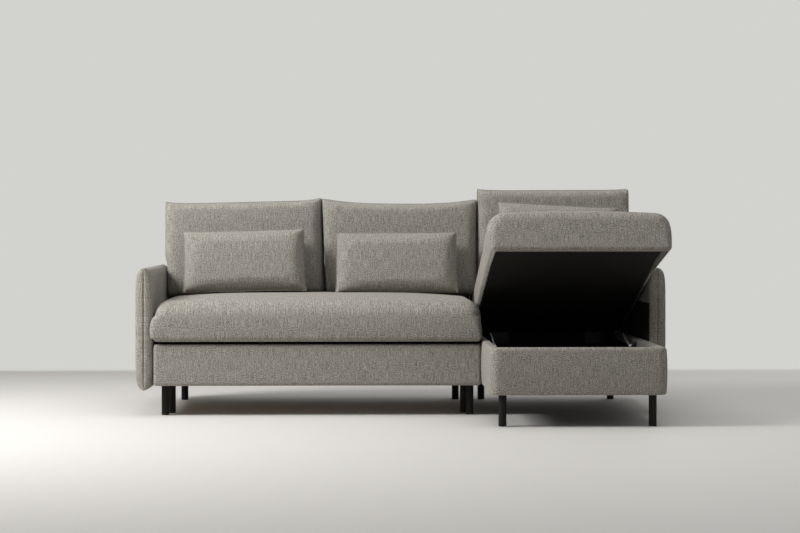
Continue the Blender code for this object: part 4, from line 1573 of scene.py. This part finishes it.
    def cap(self, mesh: bpy.types.Mesh, index: Array) -> None:
        """Close both ends of the walls.

        Args:
            mesh: The cover's mesh.
            index: Numbers of its points along the walls and round their section.
        """
        shape = bmesh.new()
        shape.from_mesh(mesh)
        shape.verts.ensure_lookup_table()
        for row in (index[0], index[-1][::-1]):
            shape.faces.new([shape.verts[int(place)] for place in row])
        bmesh.ops.recalc_face_normals(shape, faces=shape.faces[:])
        shape.to_mesh(mesh)
        shape.free()


@dataclass
class SeamTrees:
    """Geometry Nodes trees for what follows the seams: stitches and welts, and for screws."""

    stitch_rounds: tuple[int, int] = (6, 4)
    stitch_waver: float = 0.08
    welt_rounds: int = 8
    screw_rounds: tuple[int, int] = (12, 6)

    def __post_init__(self) -> None:
        """Build each tree once."""
        self.stitches = self.build_stitches()
        self.welt = self.build_welt()
        self.screws = self.build_screws()

    def close(self, sheet: NodeSheet, sink: bpy.types.Node, shape: Socket, finish: Socket) -> None:
        """End a tree in real geometry with its material.

        Args:
            sheet: The sheet of the tree.
            sink: Its output node.
            shape: What was made.
            finish: Its material.
        """
        real = sheet.put("GeometryNodeRealizeInstances", {0: shape}).outputs[0]
        smooth = sheet.put("GeometryNodeSetShadeSmooth", {0: real}).outputs[0]
        dressed = sheet.put("GeometryNodeSetMaterial", {0: smooth, "Material": finish})
        sheet.feed(sink, {0: dressed.outputs[0]})

    def spaced(self, sheet: NodeSheet, lines: Socket, step: Socket) -> Socket:
        """Lines as curves, with a point at every step.

        Args:
            sheet: The sheet of the tree.
            lines: Edges of a mesh.
            step: Distance between points.

        Returns:
            The curves.
        """
        curve = sheet.put("GeometryNodeMeshToCurve", {0: lines}).outputs[0]
        inputs = {"Curve": curve, "Length": step}
        return sheet.put("GeometryNodeResampleCurve", inputs, mode="LENGTH").outputs[0]

    def bead(self, sheet: NodeSheet, rounds: tuple[int, int], *size: Socket) -> Socket:
        """A ball, stretched to a size.

        Args:
            sheet: The sheet of the tree.
            rounds: Faces round the ball and along it.
            size: Its three sizes.

        Returns:
            The bead.
        """
        inputs = {"Segments": rounds[0], "Rings": rounds[1], "Radius": 0.5}
        ball = sheet.put("GeometryNodeMeshUVSphere", inputs).outputs["Mesh"]
        inputs = {"Geometry": ball, "Scale": sheet.joined(*size)}
        return sheet.put("GeometryNodeTransform", inputs).outputs[0]

    def laid(self, sheet: NodeSheet, points: Socket, piece: Socket, way: Socket, axis: str) -> Socket:
        """Copies of a piece on points, one of its axes along the way that each point gives.

        Args:
            sheet: The sheet of the tree.
            points: Where the copies go.
            piece: What is copied.
            way: The direction at each point.
            axis: The piece's axis that follows it.

        Returns:
            The copies.
        """
        turn = sheet.put("FunctionNodeAlignRotationToVector", {"Vector": way}, axis=axis).outputs[0]
        inputs = {"Points": points, "Instance": piece, "Rotation": turn}
        return sheet.put("GeometryNodeInstanceOnPoints", inputs).outputs[0]

    def build_stitches(self) -> bpy.types.NodeTree:
        """A row of thread stitches along each line, each with a little tilt of its own.

        Returns:
            The group's tree.
        """
        inputs = {"Lines": "Geometry", "Pitch": "Float", "Length": "Float", "Thread": "Float"}
        inputs |= {"Seed": "Int", "Finish": "Material"}
        sheet, given, sink = new_group("stitch_row", "Geometry", inputs, {"Stitches": "Geometry"})
        spaced = self.spaced(sheet, given["Lines"], given["Pitch"])
        size = (given["Length"], given["Thread"], given["Thread"])
        stitch = self.bead(sheet, self.stitch_rounds, *size)
        tangent = sheet.put("GeometryNodeInputTangent").outputs[0]
        inputs = {0: (-self.stitch_waver,) * 3, 1: (self.stitch_waver,) * 3, "Seed": given["Seed"]}
        waver = sheet.put("FunctionNodeRandomValue", inputs, data_type="FLOAT_VECTOR").outputs[0]
        way = sheet.put("ShaderNodeVectorMath", {0: tangent, 1: waver}, operation="ADD").outputs[0]
        self.close(sheet, sink, self.laid(sheet, spaced, stitch, way, "X"), given["Finish"])
        return sheet.tree

    def build_welt(self) -> bpy.types.NodeTree:
        """A thin covered cord along each line.

        Returns:
            The group's tree.
        """
        inputs = {"Lines": "Geometry", "Radius": "Float", "Step": "Float", "Finish": "Material"}
        sheet, given, sink = new_group("welt_cord", "Geometry", inputs, {"Welt": "Geometry"})
        spaced = self.spaced(sheet, given["Lines"], given["Step"])
        inputs = {"Resolution": self.welt_rounds, "Radius": given["Radius"]}
        ring = sheet.put("GeometryNodeCurvePrimitiveCircle", inputs).outputs[0]
        inputs = {"Curve": spaced, "Profile Curve": ring, "Fill Caps": True}
        tube = sheet.put("GeometryNodeCurveToMesh", inputs).outputs[0]
        self.close(sheet, sink, tube, given["Finish"])
        return sheet.tree

    def build_screws(self) -> bpy.types.NodeTree:
        """A domed screw head at each point, square to the plate that it holds.

        Returns:
            The group's tree.
        """
        inputs = {"Places": "Geometry", "Diameter": "Float", "Height": "Float", "Finish": "Material"}
        sheet, given, sink = new_group("screw_heads", "Geometry", inputs, {"Screws": "Geometry"})
        tall = sheet.math("MULTIPLY", given["Height"], 2.0)
        head = self.bead(sheet, self.screw_rounds, given["Diameter"], given["Diameter"], tall)
        square = sheet.put(
            "GeometryNodeInputNamedAttribute", {"Name": SQUARE_TO}, data_type="FLOAT_VECTOR"
        ).outputs[0]
        laid = self.laid(sheet, given["Places"], head, square, "Z")
        self.close(sheet, sink, laid, given["Finish"])
        return sheet.tree


def grown(obj: bpy.types.Object, tree: bpy.types.NodeTree, values: dict[str, object]) -> None:
    """Run a Geometry Nodes tree on an object and keep the result as its plain mesh.

    Args:
        obj: The object that holds the lines or points.
        tree: The tree to run.
        values: The tree's inputs by name.
    """
    modifier = obj.modifiers.new(tree.name, "NODES")
    modifier.node_group = tree
    for item in tree.interface.items_tree:
        if item.in_out == "INPUT" and item.name in values:
            modifier[item.identifier] = values[item.name]
    applied(obj)


@dataclass
class SeamWork:
    """The lines that are stitched or welted, gathered by body, and the work along them."""

    pitch: float = 0.0065
    stitch: float = 0.0046
    thread: float = 0.0013
    seed: int = 7
    welt_step: float = 0.008
    stitched: dict[Body, list[Array]] = field(default_factory=dict)
    welted: dict[tuple[Body, float], list[Array]] = field(default_factory=dict)

    def sew(self, body: Body, line: Array) -> None:
        """Add a closed line of stitches."""
        self.stitched.setdefault(body, []).append(line)

    def pipe(self, body: Body, line: Array, radius: float) -> None:
        """Add a closed line of welt."""
        self.welted.setdefault((body, radius), []).append(line)

    def lines(self, name: str, lines: Sequence[Array]) -> bpy.types.Object:
        """An object of closed lines.

        Args:
            name: The object's name.
            lines: The points of each line.

        Returns:
            The object.
        """
        points: list[list[float]] = []
        edges: list[tuple[int, int]] = []
        for line in lines:
            start, count = len(points), len(line)
            points.extend(line.tolist())
            edges.extend((start + k, start + (k + 1) % count) for k in range(count))
        mesh = bpy.data.meshes.new(name)
        mesh.from_pydata(points, edges, [])
        return linked(name, mesh)

    def build(self, trees: SeamTrees, finishes: Finishes) -> None:
        """Make the stitches and welts, one object for each body and thickness.

        Args:
            trees: The Geometry Nodes trees.
            finishes: The sofa's materials.
        """
        finish = {"Finish": finishes[Finish.THREAD]}
        sizes = {"Pitch": self.pitch, "Length": self.stitch, "Thread": self.thread, "Seed": self.seed}
        for body, lines in self.stitched.items():
            obj = self.lines(f"stitching_{body.value}", lines)
            grown(obj, trees.stitches, sizes | finish)
            hand_over(obj, body)
        for (body, radius), lines in self.welted.items():
            obj = self.lines(f"welts_{body.value}_{round(radius * 10000)}", lines)
            grown(obj, trees.welt, {"Radius": radius, "Step": self.welt_step} | finish)
            hand_over(obj, body)


@dataclass
class PlateScrews:
    """Screws through the hinge leaves and the struts' brackets."""

    diameter: float = 0.007
    height: float = 0.0022
    bracket_plate: float = 0.0031
    bracket_inset: float = 0.010
    leaf_plate: float = 0.0021
    leaf_height: float = 0.018
    leaf_shares: Triple = (0.2, 0.5, 0.8)

    def places(self) -> list[tuple[Vector, Vector]]:
        """Where each screw sits and what way it faces.

        Returns:
            A place and a direction for each screw.
        """
        found: list[tuple[Vector, Vector]] = []
        for side, inward in (("left", 1.0), ("right", -1.0)):
            low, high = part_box(f"strut_foot_bracket_{side}")
            wall = (low.x if side == "left" else high.x) + inward * self.bracket_plate
            for y in (low.y + self.bracket_inset, high.y - self.bracket_inset):
                found.append((Vector((wall, y, (low.z + high.z) / 2)), Vector((inward, 0, 0))))
            low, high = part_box(f"lid_hinge_fixed_leaf_{side}")
            y, z = high.y - self.leaf_plate, low.z + self.leaf_height
            for share in self.leaf_shares:
                found.append((Vector((low.x + share * (high.x - low.x), y, z)), Vector((0, -1, 0))))
        return found

    def build(self, trees: SeamTrees, finishes: Finishes) -> None:
        """Make all the screws as one piece.

        Args:
            trees: The Geometry Nodes trees.
            finishes: The sofa's materials.
        """
        places = self.places()
        mesh = bpy.data.meshes.new("plate_screws")
        mesh.from_pydata([tuple(spot) for spot, _ in places], [], [])
        facing = mesh.attributes.new(SQUARE_TO, "FLOAT_VECTOR", "POINT")
        facing.data.foreach_set("vector", [part for _, way in places for part in way])
        obj = linked(mesh.name, mesh)
        values = {"Diameter": self.diameter, "Height": self.height}
        grown(obj, trees.screws, values | {"Finish": finishes[Finish.DARK_STEEL]})
        hand_over(obj, Body.SOFA)


@dataclass(frozen=True)
class CarriedParts:
    """CAD nodes whose shape stays, and the finish that each kind gets, by a part of its name."""

    kinds: tuple[tuple[str, Finish], ...] = (
        ("leg_block", Finish.BOARD),
        ("_leg_", Finish.LEG_PAINT),
        ("strut_rod", Finish.BRIGHT_STEEL),
        ("strut", Finish.DARK_STEEL),
        ("lid_hinge", Finish.DARK_STEEL),
        ("lift_arm", Finish.DARK_STEEL),
        ("lid_board", Finish.LINING),
        ("chaise_bottom", Finish.LINING),
        ("chaise_hinge_wall", Finish.LINING),
        # Painted shade: the seat deck, seen through the gap under the seat, gets the black lining so
        # that it is as dark as the shade that falls there.
        ("seat_deck", Finish.LINING),
        ("", Finish.BOARD),
    )

    def dress(self, finishes: Finishes) -> None:
        """Give every carried node its finish.

        Args:
            finishes: The sofa's materials.
        """
        for name, node in sorted(frame["nodes"].items()):
            finish = next(finish for part, finish in self.kinds if part in name)
            node.data.materials.clear()
            node.data.materials.append(finishes[finish])
            LOG.info("%s carried over in %s", name, finish.value)


@dataclass
class Upholstery:
    """All the padded pieces, filled together and dressed in turn."""

    seat_hem: float = 0.010
    seat_swell: float = 0.014
    lid_hem: float = 0.006
    back_sink: float = 0.010
    back_gap: float = 0.003
    pillow_sink: float = 0.002
    side_gap: float = 0.0015
    side_soft: float = 0.002
    crevice_shift: float = 0.006
    crevice_slant: float = 0.048
    raised_shift: float = 0.014

    def seat(self) -> SeatPad:
        """The seat of the bed.

        Returns:
            The pad.
        """
        low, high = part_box("seat_cushion")
        half = (high.z - low.z) / 2
        return SeatPad(
            "seat_cover",
            "seat_cushion",
            Body.SOFA,
            FLAT,
            fill=0.85,
            seed=0.7,
            size=(high.x - low.x, high.y - low.y),
            rise=(half, half + self.seat_swell),
            edges=(0.018, 0.058),
            crown=0.024,
            hem=self.seat_hem,
            dents=("pillow_left", "pillow_middle"),
        )

    def lid(self) -> LidPad:
        """The padded lid of the chaise.

        Returns:
            The pad.
        """
        hinge = next(joint for joint in frame["joints"] if joint["name"] == "lid_hinge")
        return LidPad(
            "lid_cover",
            "lid_cushion",
            Body.LID,
            LID_TURN,
            fill=0.85,
            seed=3.3,
            size=(0.675, 1.293),
            rise=(0.0903, 0.083),
            edges=(0.019, 0.050),
            crown=0.013,
            hem=self.lid_hem,
            hem_depth=0.002,
            hinge=tuple(hinge["pos_m"]),
        )

    def panels(self) -> list[BoxedPad]:
        """The drawer front and the backs of both modules.

        Returns:
            The pads.
        """
        made = []
        for node, body, edge, lower, seed in (
            ("drawer_front", Body.DRAWER, 0.013, 0.003, 9.4),
            ("bed_back", Body.SOFA, 0.022, 0.0, 10.6),
            ("chaise_back", Body.SOFA, 0.022, 0.0, 11.2),
        ):
            low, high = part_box(node)
            half = (high.y - low.y) / 2
            pad = BoxedPad(
                f"{node}_cover",
                node,
                body,
                STAND_FACING_Y,
                fill=0.95,
                seed=seed,
                shift=(0.0, 0.0, -lower / 2),
                size=(high.x - low.x, high.z - low.z - lower),
                rise=(half, half),
                edges=(edge, edge),
                crown=0.003,
            )
            made.append(pad)
        return made

    def mattress(self) -> QuiltedPad:
        """The second mattress, in the drawer.

        Returns:
            The pad.
        """
        low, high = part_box("pull_out_mattress")
        half = (high.z - low.z) / 2
        return QuiltedPad(
            "mattress_cover",
            "pull_out_mattress",
            Body.DRAWER,
            FLAT,
            fill=0.8,
            finish=Finish.TICKING,
            seed=12.5,
            size=(high.x - low.x, high.y - low.y),
            rise=(half, half),
            edges=(0.028, 0.028),
        )

    def on_seat(self, rise: float) -> RestPlane:
        """A level plane somewhat above or below the top of the seat's CAD block."""
        return RestPlane((0, 0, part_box("seat_cushion")[1].z + rise), (0, 0, 1))

    def on_lid(self, lid: LidPad) -> RestPlane:
        """The lid's top, as what stands on it meets it."""
        top = lid.centre() + lid.turn @ Vector((0, 0, lid.rise[1]))
        return RestPlane(tuple(top), tuple(lid.turn @ Vector((0, 0, 1))))

    def cushion_rests(self, lid: LidPad) -> dict[str, Sequence[RestPlane]]:
        """What each back cushion rests on, by its side.

        Args:
            lid: The padded lid.

        Returns:
            The surfaces, by the cushion's side.
        """
        seat, on_lid = self.on_seat(-self.back_sink), self.on_lid(lid)
        back = RestPlane((0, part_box("bed_back")[0].y - self.back_gap, 0), (0, -1, 0))
        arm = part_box("right_arm")[0].x - self.side_gap
        left_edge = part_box("back_cushion_left")[1].x + self.crevice_shift
        right_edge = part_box("back_cushion_right")[0].x + self.raised_shift
        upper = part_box("back_cushion_left")[1].z
        slant = self.crevice_slant
        sides = {
            "left": ((-arm, 1.0, 0.0), (left_edge, -1.0, -slant)),
            "middle": ((left_edge + self.side_gap, 1.0, slant), (right_edge - self.side_gap, -1.0, 0.0)),
            "right": ((right_edge + self.side_gap, 1.0, 0.0), (arm, -1.0, 0.0)),
        }
        rests = {}
        for side, planes in sides.items():
            pressed = [
                RestPlane((x, 0, upper), (facing, 0, rise), self.side_soft) for x, facing, rise in planes
            ]
            rests[side] = (on_lid if side == "right" else seat, back, *pressed)
        return rests

    def build(self, finishes: Finishes, seams: SeamWork) -> None:
        """Cut, fill and dress every padded piece, and note its seams.

        Args:
            finishes: The sofa's materials.
            seams: Where seams are gathered for stitching.
        """
        arms, cushions = ArmPads(), CushionPads()
        seat, lid = self.seat(), self.lid()
        backs = cushions.backs(self.cushion_rests(lid))
        on_seat = self.on_seat(self.seat_swell - self.pillow_sink)
        pillows = cushions.pillows(on_seat, self.on_lid(lid))
        arm_pads = arms.pads()
        everything = [*arm_pads, seat, lid, *self.panels(), self.mattress(), *backs, *pillows]
        for pad in everything:
            pad.cut()
        Filling().fill(everything)
        for pad in everything:
            pad.dress(finishes)
        lid.line(finishes)
        arms.line(arm_pads[1], finishes)
        welts = ((arm_pads, arms.welt), (backs, cushions.back_welt), (pillows, cushions.pillow_welt))
        for pads, radius in welts:
            for pad in pads:
                seams.pipe(pad.body, pad.seam_line(), radius)
        for pad in (seat, lid):
            seams.sew(pad.body, pad.hem_line())


@dataclass(frozen=True)
class Lamp:
    """A square area lamp, aimed at a point."""

    name: str
    place: Triple
    aim: Triple
    size: float
    power: float

    def build(self) -> None:
        """Hang the lamp."""
        light = bpy.data.lights.new(self.name, "AREA")
        light.shape = "SQUARE"
        light.size = self.size
        light.energy = self.power
        obj = linked(self.name, light)
        obj.location = self.place
        way = Vector(self.aim) - Vector(self.place)
        obj.rotation_euler = way.to_track_quat("-Z", "Y").to_euler()


@dataclass(frozen=True)
class Studio:
    """A pale floor in a pale surround, soft light from the left and the photograph's camera."""

    floor_colour: Triple = (0.58, 0.565, 0.54)
    floor_roughness: float = 0.7
    floor_gloss: float = 0.15
    surround_colour: Triple = (0.645, 0.645, 0.62)
    reach: float = 14.0
    rear_fade: Pair = (2.45, 2.72)
    front_fade: Pair = (-4.6, -7.5)
    side_fade: Pair = (3.4, 6.0)
    lamps: tuple[Lamp, ...] = (
        Lamp("key", (-3.4, -1.35, 2.6), (0.0, 0.0, 0.4), 1.5, 198.0),
        Lamp("top", (0.3, -0.8, 4.2), (0.3, -0.8, 0.0), 4.0, 97.0),
        Lamp("front", (1.0, -7.5, 1.8), (0.3, 0.0, 0.4), 4.0, 16.0),
        Lamp("rear", (3.6, 4.8, 2.2), (0.3, 0.2, 0.4), 4.0, 75.0),
    )
    world_colour: Triple = (1.0, 0.985, 0.96)
    world_strength: float = 0.17
    lens: float = 94.5
    sensor: float = 36.0
    sight: float = 50.0
    viewpoint: Triple = (-0.216, -8.68, 0.75)
    look_down: float = 0.98
    look_right: float = 1.42

    def build(self) -> None:
        """Make the stage, the lamps, the world and the camera."""
        self.floor()
        for lamp in self.lamps:
            lamp.build()
        self.world()
        self.camera()
        bpy.context.scene.view_settings.view_transform = "Standard"

    def floor(self) -> None:
        """A wide floor, with nothing standing on it but the sofa."""
        ends = ((-1, -1), (1, -1), (1, 1), (-1, 1))
        mesh = bpy.data.meshes.new("floor")
        mesh.from_pydata([(self.reach * x, self.reach * y, 0.0) for x, y in ends], [], [(0, 1, 2, 3)])
        mesh.materials.append(self.floor_finish())
        linked("floor", mesh)

    def floor_finish(self) -> bpy.types.Material:
        """A matt floor that the camera sees fade into the surround, at the photograph's wall line.

        Returns:
            The material.
        """
        material, sheet, shader = new_material("floor")
        looks = {
            "Base Color": (*self.floor_colour, 1.0),
            "Roughness": self.floor_roughness,
            "Specular IOR Level": self.floor_gloss,
        }
        sheet.feed(shader, looks)
        far = sheet.put("ShaderNodeEmission", {"Color": (*self.surround_colour, 1.0)})
        x, y, _ = sheet.apart(sheet.place())
        share = sheet.ramp(y, self.rear_fade, "SMOOTHSTEP")
        for way, ends in ((y, self.front_fade), (sheet.math("ABSOLUTE", x), self.side_fade)):
            share = sheet.math("MAXIMUM", share, sheet.ramp(way, ends, "SMOOTHSTEP"))
        share = sheet.math("MULTIPLY", share, sheet.seen())
        mixed = sheet.put("ShaderNodeMixShader", {0: share, 1: shader.outputs[0], 2: far.outputs[0]})
        sheet.feed(material.node_tree.nodes["Material Output"], {"Surface": mixed.outputs[0]})
        return material

    def world(self) -> None:
        """Even light from all round, in a pale surround."""
        world = bpy.data.worlds.new("studio")
        world.use_nodes = True
        sheet = NodeSheet(world.node_tree)
        light = world.node_tree.nodes["Background"]
        sheet.feed(light, {"Color": (*self.world_colour, 1.0), "Strength": self.world_strength})
        around = sheet.put("ShaderNodeBackground", {"Color": (*self.surround_colour, 1.0)})
        inputs = {0: sheet.seen(), 1: light.outputs[0], 2: around.outputs[0]}
        mixed = sheet.put("ShaderNodeMixShader", inputs)
        sheet.feed(world.node_tree.nodes["World Output"], {"Surface": mixed.outputs[0]})
        bpy.context.scene.world = world

    def camera(self) -> None:
        """The photograph's camera."""
        lens = bpy.data.cameras.new("camera")
        lens.lens = self.lens
        lens.sensor_width = self.sensor
        lens.clip_end = self.sight
        obj = linked("camera", lens)
        obj.location = self.viewpoint
        obj.rotation_euler = (math.radians(90 - self.look_down), 0.0, math.radians(-self.look_right))
        bpy.context.scene.camera = obj


def build_finishes() -> Finishes:
    """All the sofa's materials."""
    effects = SharedEffects()
    return {key: finish.build(effects) for key, finish in FINISHES.items()}


def main() -> None:
    """Dress the whole sofa and set the studio."""
    logging.basicConfig(level=logging.INFO, format="%(message)s")
    Studio().build()
    finishes = build_finishes()
    CarriedParts().dress(finishes)
    seams = SeamWork()
    Upholstery().build(finishes, seams)
    BoxCover().build(finishes)
    trees = SeamTrees()
    seams.build(trees, finishes)
    PlateScrews().build(trees, finishes)


if __name__ == "__main__":
    main()
